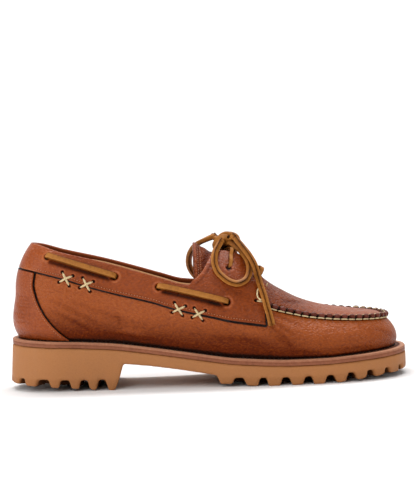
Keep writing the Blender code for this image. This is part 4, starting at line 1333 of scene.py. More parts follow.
@dataclass(frozen=True)
class CollarBand:
    """The band round the collar, with the two eyelet flaps in front."""

    last: Last
    columns: int = 620
    row_count: int = 44
    front: float = 192 * MM

    def holes(self) -> list[Hole]:
        """All the holes of the band.

        Returns:
            Slots of the side laces, eyelets, and the upper holes of the cross stitches.
        """
        found = []
        for side in Side:
            for rear, rear_height, front, front_height in SIDE_LACES.values():
                found.append(Hole(side, rear - 0.6, rear_height - 0.4, 2.6, 1.2, 0.3))
                found.append(Hole(side, front + 0.6, front_height - 0.6, 2.8, 1.2, 0.4))
            for station, height in EYELETS:
                found.append(Hole(side, station, height, 2.2, 1.1))
            for station, height in X_STITCHES:
                for corner in cross_corners(self.last, station, height, 1.12)[0::2]:
                    found.append(Hole(side, *corner, 1.3))
            found.append(Hole(side, 185.6, 61.4, 1.2))
        return found

    def build(self) -> None:
        """Builds the band and its flaps."""
        last = self.last
        edge_along, edge_up = 0.0016, 0.02
        along, up = edged(self.columns, edge_along), edged(self.row_count, edge_up)
        reach = float(last.ring_place(self.front, 1))
        rings = (2 * along - 1) * reach
        stations = last.ring_station(rings)
        tops = last.band_top(rings)
        lows = last.level_at(rings, last.band_seam.read("height", stations) * MM)

        def lay(u: Array, v: Array, face: Array) -> TwoArrays:
            """Points of the band's two faces."""
            i = np.searchsorted(along, u)
            ring, top = rings[i], tops[i]
            level = lows[i] + (top - lows[i]) * v
            station = stations[i] / MM
            full = np.minimum(edge_round(u, edge_along), edge_round(v, edge_up))
            bare = last.point(ring, level)
            out = last.outward(ring, level)
            stand = last.gap + last.seat + last.stand_off(ring, level, top)
            middle = bare + out * (stand + last.overlay / 2)[:, None]
            push = sum(crease.press(last, bare) for crease in BAND_CREASES)
            # creases paint shade in their troughs and highlight on their ridges, such as those at the heel
            # top
            tone = 0.5 * push / MM
            for hole in self.holes():
                centre_ring = float(last.ring_place(hole.station * MM, hole.side.value))
                centre_level = last.level_at(np.array([centre_ring]), np.array([hole.height * MM]))
                off = last.stand_off(np.array([centre_ring]), centre_level)[0]
                off = off + last.gap + last.seat
                pit, shade = hole.punch(middle, hole.centre(last, off + last.overlay / 2))
                push = push + pit
                tone = tone + shade
            # painted shadow on the band under each side lace
            for rear, rear_height, front, front_height in SIDE_LACES.values():
                share = (station - rear) / (front - rear)
                under = rear_height + (front_height - rear_height) * share - bare[:, 2] / MM
                ends = soft_step(share / 0.05) * soft_step((1 - share) / 0.05)
                tone = tone - 0.75 * hump(under - 3.2, 1.5) * ends
            over_edge = (bare[:, 2] / MM) - last.band_seam.read("height", stations[i])
            push = push - 0.10 * MM * hump(over_edge - 1.7, 0.5) + 0.08 * MM * hump(over_edge - 0.8, 0.5)
            # painted shade in the stitch channel
            tone = tone - 0.15 * hump(over_edge - 1.7, 0.5)
            flap = soft_step((station - 139) / 4)
            raw = (1 - edge_round(v, edge_up)) * (v > 0.5) * flap * (1 - soft_step((station - 158) / 3))
            raw = np.maximum(raw, 1 - edge_round(u, edge_along))
            rear_edge = 0.8 * hump(1 - v, 0.05) - 0.7 * hump((1 - v) / 0.02 - 6.5, 1.6)
            rear_edge = rear_edge * soft_step((station - 140) / 3) * (1 - soft_step((station - 155) / 3))
            # painted shade: the station terms here and on the next line darken the band forwards of the heel,
            # more towards the flaps
            tone = tone + 0.3 * raw + 0.35 * rear_edge - 0.13 * soft_step((station - 30) / 30)
            tone = tone - 0.05 * soft_step((station - 120) / 40)
            outside = push * (face > 0)
            lift = face * full * last.overlay / 2 + outside
            # the inner face takes tone -0.5: painted shade
            return middle + out * lift[:, None], np.where(face > 0, tone, -0.5)

        dressed("collar_band_and_flaps", leaf(along, up, lay), (BAND_TAN,), "collar_band")


@dataclass(frozen=True)
class HeelCounter:
    """The piece round the heel, from the feather line up to the collar band."""

    last: Last
    columns: int = 150
    row_count: int = 76
    seat: float = 0.3 * MM
    foot: float = 1.1 * MM
    seam_gap: float = 0.45 * MM

    def places(self, along: Array, up: Array) -> TwoArrays:
        """Places on the last under the counter.

        Args:
            along: share from edge to edge.
            up: share from foot to top.

        Returns:
            Ring and level of each.
        """
        front = self.last.ring_place(COUNTER_EDGE.read("station", up) * MM, 1)
        ring = (2 * along - 1) * front
        station = self.last.ring_station(ring)
        low = self.last.point(ring, np.zeros_like(ring))[:, 2] + self.foot
        high = self.last.band_seam.read("height", station) * MM - self.seam_gap
        levels = np.linspace(0, 2, 161)
        table = self.last.point(ring[:, None], levels[None, :])[..., 2]
        height = low + up * (high - low)
        j = np.clip((table < height[:, None]).sum(axis=1) - 1, 0, len(levels) - 2)
        row = np.arange(len(ring))
        below, above = table[row, j], table[row, j + 1]
        return ring, levels[j] + (height - below) / (above - below) * (levels[1] - levels[0])

    def build(self) -> None:
        """Builds the counter."""
        last = self.last
        edge_along, edge_up = 0.006, 0.012
        along, up = edged(self.columns, edge_along), edged(self.row_count, edge_up)

        def lay(u: Array, v: Array, face: Array) -> TwoArrays:
            """Points of the counter's two faces."""
            ring, level = self.places(u, v)
            bare, out = last.point(ring, level), last.outward(ring, level)
            full = np.minimum(edge_round(u, edge_along), edge_round(v, edge_up))
            push = sum(crease.press(last, bare) for crease in COUNTER_CREASES)
            inwards = np.minimum(u, 1 - u) * 110
            push = push - 0.10 * MM * hump(inwards - 2.0, 0.5)
            low = 1 - soft_step(level / 0.3)
            # painted shade: the counter darkens in its wrinkles' troughs, towards its foot, and to near-black
            # along its top under the band
            tone = 0.25 * push / MM - 1.0 * soft_step((v - 0.98) / 0.01) - 0.3 * low - 0.03
            tone = tone + 0.3 * (1 - edge_round(u, edge_along)) * (1 - v)
            lift = last.gap + self.seat + last.overlay / 2 + face * full * last.overlay / 2
            return bare + out * (lift + push * (face > 0))[:, None], np.where(face > 0, tone, 0.0)

        dressed("leather_heel_counter", leaf(along, up, lay), (BAND_TAN,), "heel_counter")


@dataclass(frozen=True)
class Tongue:
    """The leaf behind the flaps, arched over the instep and tucked under the apron."""

    last: Last
    thickness: float = 2.2 * MM
    arch_power: float = 1.75
    rear: float = 141.5  # mm
    front: float = 198  # mm
    wave: float = 0.35 * MM  # height of its ripples
    columns: int = 56
    row_count: int = 52
    table: Table = Table("station side_level side_lift middle_lift", (
        (141.5, 1.34, -6.2, 2.2), (144, 1.24, -6.6, 1.6), (148, 1.2, -6.8, -0.8),
        (157, 1.2, -6.4, -4.2), (170, 1.22, -6.2, -4.9), (185, 1.3, -6.4, -4.6),
        (198, 1.42, -6.2, -3.0),
    ))

    def points(self, station: Array, across: Array, depth: Array) -> Array:
        """Points of the leaf.

        Args:
            station: in metres.
            across: share from the lateral edge to the medial one.
            depth: below the outer face, in metres.

        Returns:
            The points.
        """
        level = self.table.read("side_level", station)
        side_lift = self.table.read("side_lift", station) * MM - depth
        middle_lift = self.table.read("middle_lift", station) * MM - depth
        ring = self.last.ring_place(station, Side.LATERAL.value)
        middle = self.last.skin(ring, np.full_like(ring, 2.0), middle_lift)
        edge = self.last.skin(np.where(across < 0.5, ring, -ring), level, side_lift)
        share = 1 - np.abs(2 * across - 1)
        out = np.cos(share * math.pi / 2) ** (2 / self.arch_power)
        up = np.sin(share * math.pi / 2) ** (2 / self.arch_power)
        return middle + (edge - middle) * np.stack([1 - up, out, 1 - up], axis=-1)

    def build(self) -> None:
        """Builds the tongue."""
        edge = 0.02
        along, up = edged(self.columns, edge), edged(self.row_count, edge)

        def lay(u: Array, v: Array, face: Array) -> TwoArrays:
            """Points of the leaf's two faces."""
            station = (self.rear + (self.front - self.rear) * u) * MM
            full = np.minimum(edge_round(u, edge), edge_round(v, edge))
            depth = self.thickness * (0.5 - 0.5 * face * full)
            ripple = self.wave * np.sin(u * 42 + 2.2 * np.sin(v * 9)) * soft_step((u - 0.04) / 0.1)
            depth = depth + ripple * (face > 0) * soft_step((1 - np.abs(2 * v - 1)) / 0.15)
            border = hump(u - 0.028, 0.02)
            # painted shade in the ripples' troughs
            tone = -0.45 * hump(u - 0.05, 0.008) + 0.2 * border - 0.125 * ripple / self.wave
            # the outer face is darkened by 0.42 all over: painted shade
            return self.points(station, v, depth), np.where(face > 0, tone - 0.42, -0.1)

        dressed("leather_tongue", leaf(along, up, lay), (TAN,), "tongue")


@dataclass(frozen=True)
class Footbed:
    """The lining leather that the foot stands on, dished at the heel and along its edges."""

    last: Last
    thickness: float = 3.0 * MM

    def build(self) -> None:
        """Builds the footbed."""
        last = self.last
        inset = last.wall + 2 * last.gap
        heel, toe = last.feather_heel + inset, last.feather_toe - inset
        edge = 0.02
        along, up = (1 - np.cos(math.pi * np.linspace(0, 1, 121))) / 2, edged(26, edge)

        def lay(u: Array, v: Array, face: Array) -> TwoArrays:
            """Points of the footbed's two faces."""
            station = heel + (toe - heel) * u
            sides = [np.full_like(u, side.value) for side in Side]
            inwards = last.ledge + inset
            lateral, medial = (last.plan_y(station, side, heel, toe, inwards) for side in sides)
            full = edge_round(v, edge)
            y = lateral + (medial - lateral) * v
            dish = 0.7 * MM * (2 * v - 1) ** 4 - 0.5 * MM * hump(u - 0.14, 0.12) * hump(v - 0.5, 0.3)
            low = last.midsole_top(station) + last.gap
            ends = edge_round(u, 0.004)
            high = (self.thickness + dish * (face > 0)) * (0.5 + 0.5 * face * np.minimum(full, ends))
            worn = hump(u - 0.14, 0.1) + hump(u - 0.72, 0.12)
            return last.place(station, y, low + high), -0.25 * worn * (1 - np.abs(2 * v - 1) ** 2 * 0.4)

        dressed("lining_footbed", leaf(along, up, lay), (LINING,), "insole")


# Sole


@dataclass(frozen=True)
class Midsole:
    """The leather layer under the upper, with its rounded top edge and a ledge round the feather line."""

    last: Last
    columns: int = 420
    roundness: float = 1.25 * MM
    ledge_reach: float = 9 * MM

    def build(self) -> None:
        """Builds the midsole."""
        last = self.last
        low, high = last.gap, last.gap + last.midsole
        turn = np.linspace(0, math.pi / 2, 7)
        rows = [(self.ledge_reach, low), (4 * MM, low), (0.25 * MM, low), (0.0, low + 0.25 * MM)]
        rows += [(0.0, low + 1.2 * MM), (0.0, high - 2.6 * MM)]
        rows += [(0.12 * MM, high - 2.1 * MM), (0.0, high - 1.7 * MM)]
        bend = self.roundness
        rows += [(bend * (1 - math.cos(a)), high - bend * (1 - math.sin(a))) for a in turn]
        rows += [(inset * MM, high) for inset in (1.9, 2.7, 3.4, 4.2, 5.2, 7.0)]
        rows += [(self.ledge_reach, high)]
        inset, lift = np.array(rows).T
        middle = np.concatenate([[1.0], np.zeros(len(inset)), [1.0, 1.0]])
        inset = np.concatenate([[inset[0]], inset, [inset[-1], inset[0]]])
        lift = np.concatenate([[low], lift, [high, low]])
        steps = len(inset) - 1

        def shape(around: Array, across: Array) -> TwoArrays:
            """Points of the layer round its edge, and in to its middle line."""
            ring = 2 * around - 1
            j = np.rint(across * steps).astype(int)
            flat = last.outline(ring, inset[j])
            station = np.clip(flat[:, 0] + last.length / 2, 22 * MM, last.length - 30 * MM)
            middle_y = last.plan.read("middle", station) * MM
            spine = np.stack([station - last.length / 2, middle_y], axis=-1)
            flat = flat + (spine - flat) * middle[j][:, None]
            height = last.gum_top(flat[:, 0] + last.length / 2) + lift[j]
            side = hump(lift[j] - low - 1.2 * MM, 1.6 * MM) * (inset[j] < 0.5 * MM)
            crown = hump(lift[j] - high, 1.1 * MM) * (inset[j] < 3.5 * MM)
            line = ((inset[j] > 0.1 * MM) & (inset[j] < 0.2 * MM)) * 0.3
            # painted shade on the top face under the foot of the upper
            under = hump(inset[j] - 5.0 * MM, 1.0 * MM) * (lift[j] > low)
            tone = -0.2 * side + 0.42 * crown - line - 0.9 * under
            return np.concatenate([flat, height[:, None]], axis=-1), tone

        mesh = laid_grid(self.columns, steps, shape)
        weld(mesh, 0.02 * MM)
        dressed("leather_midsole", mesh, (WELT,), "midsole")


@dataclass(frozen=True)
class Outsole:
    """The lugged gum unit: its solid's own form with moulded, rounded edges."""

    last: Last
    solid: bpy.types.Object
    voxel: float = 1.0 * MM
    rounding: int = 7
    regrow: float = 0.3 * MM  # undoes what the rounding takes off
    keep: float = 0.7

    def build(self) -> None:
        """Builds the outsole."""
        last = self.last
        mesh = bmesh.new()
        mesh.from_mesh(self.solid.data)
        bmesh.ops.remove_doubles(mesh, verts=mesh.verts, dist=0.01 * MM)
        form = placed("outsole_form", settled("outsole_form", mesh))
        remesh = form.modifiers.new("moulded", "REMESH")
        remesh.mode, remesh.voxel_size, remesh.adaptivity = "VOXEL", self.voxel, 0.0
        smooth = form.modifiers.new("rounded", "SMOOTH")
        smooth.factor, smooth.iterations = 0.5, self.rounding
        thin = form.modifiers.new("thinned", "DECIMATE")
        thin.ratio = self.keep
        bpy.context.view_layer.update()
        moulded = bpy.data.meshes.new_from_object(form.evaluated_get(bpy.context.evaluated_depsgraph_get()))
        bpy.data.objects.remove(form)
        mesh = bmesh.new()
        mesh.from_mesh(moulded)
        mesh.normal_update()
        for vert in mesh.verts:
            vert.co += vert.normal * self.regrow
            vert.co.z = max(vert.co.z, 0.0)
        points = np.array([vert.co for vert in mesh.verts])
        station = np.clip(points[:, 0] + last.length / 2, 0, last.length)
        side = np.where(points[:, 1] < last.plan.read("middle", station) * MM, -1.0, 1.0)
        inside = np.abs(last.plan_y(station, side) - points[:, 1])
        inside = np.minimum(inside, np.minimum(station, last.length - station))
        root = last.side.read("root", station) * MM
        # painted shade below the lugs' roots, darkest away from the outline: in the grooves and on the inner
        # lugs
        below = soft_step((root + 1.0 * MM - points[:, 2]) / (2 * MM))
        tone = -0.75 * below * soft_step((inside - 1.6 * MM) / (3 * MM)) - 0.1 * below
        top = last.gum_top(station)
        tone -= 0.3 * hump(points[:, 2] - top, 0.8 * MM)
        layer = mesh.verts.layers.float.new(TONE)
        for vert, value in zip(mesh.verts, tone.tolist()):
            vert[layer] = value
        dressed("gum_outsole", mesh, (GUM,), "outsole")


# Lace


class Wrap(NamedTuple):
    """One wrap of the knot, or a dark piece in it that paints shadow."""

    width: float  # mm
    thickness: float  # mm
    # the darkest tone, -1.2, marks a piece that paints shadow
    tone: float
    rows: tuple[Triple, ...]  # station, y and z of its middle line, in mm


@dataclass(frozen=True)
class Lace:
    """The rawhide lace: flat lengths on the sides, bars over the instep, and a bow of the same lace."""

    last: Last
    width: float = 4.5 * MM
    thickness: float = 2.2 * MM
    square: float = 3.8 * MM  # side of the lace where it is rolled square, in the bow
    cord_width: float = 4.0 * MM
    lead: float = 2.2  # how many steps of its path a free length goes on into the knot
    steps: int = 44
    knot: Triple = (166, 0, 104)
    wraps: tuple[Wrap, ...] = (
        Wrap(5.0, 2.6, -0.15, (
            (158.6, 0.5, 99.8), (158.4, -3.0, 102.4), (160.4, -5.2, 106.0), (164.0, -5.8, 108.4),
            (167.6, -5.2, 108.0), (169.6, -3.4, 105.4), (169.4, -0.5, 102.6),
        )),
        Wrap(5.2, 2.6, -0.3, (
            (161.0, 2.0, 104.0), (162.4, 0.8, 108.6), (165.6, -0.2, 111.0), (169.6, -0.8, 111.0),
            (173.0, -1.2, 108.6), (174.6, -0.6, 105.0), (172.6, 1.0, 102.0),
        )),
        Wrap(4.8, 2.6, -0.2, (
            (159.6, 3.0, 101.4), (160.8, 5.0, 105.4), (164.4, 6.0, 108.4), (168.8, 5.6, 108.2),
            (172.2, 4.2, 105.4), (172.0, 1.8, 102.4),
        )),
        Wrap(4.8, 3.0, -0.35, (
            (166.0, 2.0, 109.6), (170.6, 2.0, 110.4), (174.8, 1.0, 108.8), (176.6, -1.0, 105.6),
            (175, -3, 102.6),
        )),
        # tone -1.2 from here on: a dark core and dark strands that paint the shade inside the knot, under it
        # and between its strands
        Wrap(7.5, 6.5, -1.2, (
            (160.0, 0.0, 104.0), (165.0, -0.6, 105.6), (170.0, -0.4, 105.0), (173.4, 0.4, 103.6),
        )),
        Wrap(5.0, 3.0, -1.2, (
            (164.0, -1.0, 104.0), (164.2, -3.0, 99.0), (164.6, -8.0, 95.5), (165.0, -12.5, 92.0),
        )),
        Wrap(7.5, 4.0, -1.2, ((167.4, 1.0, 104.0), (167.4, 1.0, 100.0), (167.4, 1.0, 97.0))),
        Wrap(2.2, 2.4, -1.2, ((168.4, -6.9, 108.9), (169.6, -7.6, 108.1), (170.8, -7.6, 107.2))),
        Wrap(4.0, 2.4, -1.2, ((169.8, -6.5, 105.0), (171.2, -8.4, 102.8), (171.8, -9.6, 100.6))),
    )
    loop_lateral: tuple[Triple, ...] = (
        (162.3, -10.5, 104.6), (158.0, -21.3, 98.4), (156.8, -29.8, 91.4), (158.6, -35.8, 84.9),
        (162.5, -39.2, 80.5), (167.4, -41.3, 77.0), (173.3, -41.6, 75.6), (179.7, -39.0, 78.3),
        (182.7, -31.8, 84.4), (182.0, -25.6, 91.0), (179.0, -18.4, 96.2), (175.4, -13.0, 100.4),
        (171.6, -9.2, 103.2),
    )
    loop_medial: tuple[Triple, ...] = (
        (157.0, 6.0, 108.6), (151.5, 12.0, 106.2), (146.0, 19.0, 103.2), (141.8, 27.0, 98.8),
        (139.0, 33.5, 92.0), (139.4, 38.5, 84.0), (144.2, 41.5, 76.5), (153.0, 42.8, 73.0),
        (163.0, 41.8, 74.5), (170.5, 38.5, 80.5), (173.5, 32.0, 88.5), (174.2, 25.0, 97.2),
        (171.8, 14.8, 103.6), (168.5, 9.0, 106.2),
    )
    end_lateral: tuple[Triple, ...] = (
        (173.6, -11.6, 108.0), (178.4, -21.4, 101.6), (183.1, -28.0, 94.9), (186.5, -33.2, 87.8),
        (188.4, -34.8, 80.1), (189.9, -39.0, 73.4), (191.9, -43.8, 66.2), (193.4, -46.9, 59.0),
        (195.2, -48.6, 51.7), (196.5, -52.0, 44.7),
    )
    end_medial: tuple[Triple, ...] = (
        (174.2, 6.8, 106.0), (178.4, 15.5, 100.0), (183.2, 26.5, 92.6), (187.7, 36.8, 84.7),
        (189.6, 41.0, 75.0), (191.5, 44.5, 66.5), (194.0, 47.5, 58.0), (196.0, 50.5, 50.0),
    )

    def route(self, rows: Sequence[Triple]) -> Array:
        """Points of a route from its rows of station, y and z."""
        table = np.array(rows) * MM
        return self.last.place(table[:, 0], table[:, 1], table[:, 2])

    def outwards(self, path: Array) -> Array:
        """For each point of a path, the direction away from the middle of the shoe."""
        out = (path - np.array([0.0, 0.0, 58 * MM])) * np.array([0.0, 1.0, 0.3])
        return out / np.linalg.norm(out, axis=-1)[:, None]

    def rolled(self) -> TwoArrays:
        """Section and tones of the lace in the bow: square, a corner outwards, its burnished corners dark."""
        section = strap_section(self.square, self.square, 0.55 * MM, math.pi / 4)
        outer = hump(np.abs(section[:, 0]), 0.45 * MM)
        return section, 0.15 - 1.15 * outer

    def flat(self) -> TwoArrays:
        """Section and tones of the lace where it lies flat: lighter towards one edge and darker towards the
        other, as painted light and shade, and darker along both edges.
        """
        section = strap_section(self.width, self.thickness, 0.55 * MM)
        tones = 0.3 * section[:, 0] / self.width - 0.5 * (np.abs(section[:, 0]) > self.width / 2 - 0.3 * MM)
        return section, tones

    def build_knot(self) -> None:
        """The knot: wraps of the lace round a dark core that paints its inner shadow, and the first turn of
        each free length.
        """
        centre = self.route([self.knot])[0]
        joined = bmesh.new()
        for wrap in self.wraps:
            path = even_path(self.route(wrap.rows), 0.9 * MM)
            section = strap_section(wrap.width * MM, wrap.thickness * MM, 0.9 * MM)
            edges = hump(np.abs(section[:, 0]) - wrap.width * MM / 2, 0.9 * MM)
            add_mesh(joined, swept(path, path - centre, section, wrap.tone + 0.35 * edges))
        section, tones = self.rolled()
        loops = (self.loop_lateral, self.loop_medial)
        starts = [rows[:2] for rows in (*loops, self.end_lateral, self.end_medial)]
        starts += [rows[:-3:-1] for rows in loops]
        for start in starts:
            first, second = self.route(start)
            turn = first + (first - second) * 0.12
            path = even_path(np.array([centre, turn, first]), 0.9 * MM)
            add_mesh(joined, swept(path, self.outwards(path), section, tones))
        dressed("rawhide_knot", joined, (RAWHIDE,), "lace_knot")

    def build_cord(self, name: str, rows: Sequence[Triple], far_end: str) -> None:
        """One free length of the bow.

        Args:
            name: which length it is.
            rows: its route.
            far_end: what is on its far end.
        """
        path = even_path(self.route(rows), 1.6 * MM)
        section, tones = self.rolled()
        whole = [path[0] - (path[1] - path[0]) * self.lead, *path]
        if far_end == "object":
            whole.append(path[-1] + (path[-1] - path[-2]) * self.lead)
        whole = np.array(whole)
        mesh = swept(whole, self.outwards(whole), section, tones)
        piece = dressed(f"rawhide_{name}", mesh, (RAWHIDE,), f"lace_{name}")

    def build_bow(self) -> None:
        """The knot, two loops and two ends."""
        self.build_knot()
        self.build_cord("loop_lateral", self.loop_lateral, "object")
        self.build_cord("loop_medial", self.loop_medial, "object")
        self.build_cord("end_lateral", self.end_lateral, "bare")
        self.build_cord("end_medial", self.end_medial, "bare")

    def build_side(self, where: str, side: Side) -> None:
        """One flat length that comes out of one slot of the collar band and goes in at the next.

        Args:
            where: which of the side's lengths it is.
            side: its side of the shoe.
        """
        last = self.last
        name = f"side_lace_{side.name.lower()}_{where}"
        rear, rear_height, front, front_height = SIDE_LACES[where]
        share = np.linspace(-0.03, 1.03, self.steps + 1)
        station = (rear + (front - rear) * share) * MM
        height = (rear_height + (front_height - rear_height) * share) * MM
        ring = last.ring_place(station, side.value)
        level = last.level_at(ring, height)
        out = last.outward(ring, level)
        inside = soft_step(-share / 0.03) + soft_step((share - 1) / 0.03)
        bulge = 0.7 * MM * np.sqrt(np.clip(np.sin(math.pi * np.clip(share, 0, 1)), 0, 1))
        lift = last.overlay + last.gap + last.seat + self.thickness / 2
        lift = lift + bulge - 3.2 * MM * inside
        path = last.band_skin(ring, level, lift)
        section, tones = self.flat()
        mesh = swept(path, out, section, tones, 1 - 0.25 * np.clip(inside, 0, 1))
        dressed(f"rawhide_{name}", mesh, (RAWHIDE,), name)

    def flap_place(self, station: float, side: Side, share: float, lift: float) -> TwoArrays:
        """A point outside the flap.

        Args:
            station: in mm.
            side: which side.
            share: how far up the flap, from the shoulder.
            lift: how far outside, in metres.

        Returns:
            The point, and the direction out of the flap.
        """
        ring = np.array([self.last.ring_place(station * MM, side.value)])
        level = 1 + (self.last.band_top(ring) - 1) * share
        point = self.last.band_skin(ring, level, self.last.overlay + lift)[0]
        return point, self.last.outward(ring, level)[0]

    def build_bar(self, name: str, eyelet: Triple, edge: Pair, middle: Pair) -> None:
        """A length of the lace from one eyelet up over its flap, across the instep and down to the other.

        Args:
            name: the solid that it replaces.
            eyelet: station of the eyelets, their share of the way up the flap, and the lace's relative width.
            edge: station where it passes the flap's edge, and its lift there in millimetres.
            middle: station and height over the middle of the instep.
        """
        (hole, share, relative), (rim, stand) = eyelet, edge
        half = self.thickness / 2 + self.last.gap + self.last.seat
        points, outs = [], []
        for side in Side:
            rows = (
                (hole, share - 0.05, -3.0 * MM), (hole, share - 0.02, -0.4 * MM), (hole, share + 0.04, half),
                (rim, (1 + share) / 2, half), (rim, 1.0, self.thickness / 2 + self.last.gap + stand * MM),
            )
            steps = [self.flap_place(at, side, up, lift) for at, up, lift in rows]
            steps = steps if side is Side.LATERAL else steps[::-1]
            points += [point for point, _ in steps]
            outs += [direction for _, direction in steps]
            if side is Side.LATERAL:
                height = middle[1] * MM + self.thickness / 2
                points.append(self.last.place(middle[0] * MM, self.last.ridge_middle, height))
                outs.append(np.array([0.0, 0.0, 1.0]))
        path, out = smooth_path(np.array(points), 80), smooth_path(np.array(outs), 80)
        section, tones = self.flat()
        mesh = swept(path, out, section, tones, np.full(len(path), relative))
        dressed(f"rawhide_{name}", mesh, (RAWHIDE,), name)

    def build(self) -> None:
        """Builds the whole lace, the free lengths first."""
        self.build_bow()
        for where in SIDE_LACES:
            for side in Side:
                self.build_side(where, side)
        self.build_bar("lace_crossing_top", (167.4, 0.76, 0.68), (167.2, 0.8), (165, 97.0))
        self.build_bar("lace_crossing_lower", (184.5, 0.8, 0.9), (186, 2.0), (190.5, 82.4))


# Sewing


@dataclass(frozen=True)
class Sewing:
    """Every stitch that shows: cross stitches, the moc seam, ties, and the fine rows along the edges."""

    last: Last
    seam: MocSeam
    thick: float = 1.15 * MM
    fine_length: float = 1.35 * MM
    fine_width: float = 0.5 * MM
    fine_pitch: float = 2.1 * MM
    above_edge: float = 1.75  # mm from the collar band's lower edge up to its stitches
    cross_thick: float = 1.6 * MM
    pucker_lift: float = 2.45  # mm
    far_drop: float = 0.8  # mm that the medial puckers sit lower
    far_front: float = 266 * MM  # up to this station

    def side_point(self, side: Side, station: float, height: float, lift: float, over_band: bool) -> Array:
        """A point on the side of the shoe.

        Args:
            side: which side.
            station: in mm.
            height: in mm.
            lift: how far it lies outside the leather, in metres.
            over_band: whether the leather is the collar band.

        Returns:
            The point.
        """
        ring = np.array([self.last.ring_place(station * MM, side.value)])
        level = self.last.level_at(ring, np.array([height * MM]))
        if over_band:
            return self.last.band_skin(ring, level, self.last.overlay + lift)[0]
        return self.last.skin(ring, level, lift)[0]

    def thread(self, points: Sequence[Array], out: Array, width: float) -> BMesh:
        """A length of thread through some points.

        Args:
            points: what it passes through.
            out: direction out of the leather.
            width: its thickness.

        Returns:
            The mesh.
        """
        path = smooth_path(np.array(points), 4 * len(points))
        directions = np.broadcast_to(out, path.shape)
        ends = np.linspace(0, 1, len(path))
        taper = 0.55 + 0.45 * soft_step(np.minimum(ends, 1 - ends) / 0.18)
        return swept(path, directions, round_section(width), np.zeros(8), taper)

    def crosses(self) -> None:
        """The cross stitches that tie the collar band to the quarters."""
        for side in Side:
            mesh = bmesh.new()
            for station, height in X_STITCHES:
                corners = cross_corners(self.last, station, height)
                out = np.array([0.0, float(side.value), 0.25])
                for n, (top, bottom) in enumerate((corners[0:2], corners[2:4])):
                    middle, low = 0.55 + 0.95 * n, 1.15 + 0.35 * n  # the second leg lies over the first
                    points = []
                    for share, lift in ((0.0, -0.5), (0.28, 0.75), (0.5, middle), (0.72, low), (1.0, -0.4)):
                        spot = np.array(top) * (1 - share) + np.array(bottom) * share
                        points.append(self.side_point(side, *spot, lift * MM, share < 0.6))
                    add_mesh(mesh, self.thread(points, out, self.cross_thick))
            dressed(f"cross_stitches_{side.name.lower()}", mesh, (THREAD,))

    def moc_stitches(self) -> None:
        """The thread that gathers the vamp on to the apron, one stitch from pucker to pucker."""
        place, run, pitch = self.seam.table()
        count = round(run[-1] / pitch)
        mesh = bmesh.new()
        for n in range(count):
            share = np.linspace(0.07, 0.93, 7)
            at = np.interp((n + share) * pitch, run, place)
            ring = at - 1
            swell = np.sin(math.pi * share)
            shoulder = self.last.point(ring, np.ones_like(ring))
            level = np.full_like(ring, 1.02)
            out = self.last.outward(ring, level)
            up = np.array([0.0, 0.0, 1.0])
            path = shoulder + out * (0.15 + 0.75 * swell)[:, None] * MM
            path = path + up * (0.45 + 0.1 * swell)[:, None] * MM
            add_mesh(mesh, self.thread(path, out[3], self.thick))
        dressed("moc_seam_thread", mesh, (THREAD,))

    def puckers(self) -> None:
        """The gathered leather that swells out above each moc stitch, and the thread behind it."""
        place, run, pitch = self.seam.table()
        mesh, inner = bmesh.new(), bmesh.new()
        layer = mesh.verts.layers.float.new(TONE)
        for n in range(round(run[-1] / pitch)):
            ring = np.array([np.interp((n + shift) * pitch, run, place) - 1 for shift in (0.44, 0.46)])
            low = self.last.point(ring, np.ones(2))
            along = Vector(low[1] - low[0]).normalized()
            out = Vector(self.last.outward(ring[:1], np.array([1.04]))[0])
            up = along.cross(out).normalized()
            up = up if up.z > 0 else -up
            middle = Vector(low[0]) + out * 1.15 * MM + up * self.pucker_lift * MM
            hidden = middle.y > 0 and middle.x + self.last.length / 2 < self.far_front
            if hidden:
                middle -= up * self.far_drop * MM
            turn = Matrix((along, up, out)).transposed().to_4x4()
            size = Matrix.Diagonal((0.43 * pitch, 1.95 * MM, 1.6 * MM, 1.0))
            made = bmesh.ops.create_uvsphere(
                mesh, u_segments=12, v_segments=8, radius=1.0, matrix=Matrix.Translation(middle) @ turn @ size
            )
            for vert in made["verts"]:
                spot = vert.co - middle
                side, high_up = abs(spot.dot(along)) / (0.5 * pitch), spot.dot(up) / (1.75 * MM)
                # painted shade: darker towards the gaps between puckers and on their lower halves; the sine
                # gives each pucker its own tone
                vert[layer] = -0.75 * side**3 - 0.25 * max(-high_up, 0.0) + 0.12 * math.sin(n * 2.4)
            behind = middle + up * 1.3 * MM - out * 1.2 * MM
            ends = [behind + along * (pitch * reach) for reach in (-0.36, 0.0, 0.36)]
            if not hidden:
                add_mesh(inner, self.thread([np.array(end) for end in ends], np.array(up), 1.3 * MM))
        dressed("moc_seam_inner_thread", inner, (THREAD,))
        dressed("moc_seam_puckers", mesh, (GATHERED_SHADED,))

    def ties(self) -> None:
        """A loop of thread at each flap's front edge, where the moc seam begins."""
        for side in Side:
            out = np.array([0.2, float(side.value), 0.2])
            angle = np.linspace(0.55 * math.pi, 2.35 * math.pi, 15)
            centre = np.array([189.6, 64.6])
            points = []
            for a in angle:
                station, height = centre + np.array([3.6 * math.cos(a), 3.9 * math.sin(a)])
                lift = (2.1 if station < 192 else 1.6) * MM
                points.append(self.side_point(side, station, height, lift, station < 191.8))
            mesh = self.thread(points, out, 1.2 * MM)
            level = [
                self.side_point(side, 186.3, 60.9, 0.6 * MM, True),
                self.side_point(side, 189.4, 60.2, 1.0 * MM, True),
                self.side_point(side, 192.6, 60.0, 1.6 * MM, False),
            ]
            add_mesh(mesh, self.thread(level, out, 1.15 * MM))
            dressed(f"seam_tie_{side.name.lower()}", mesh, (THREAD,))

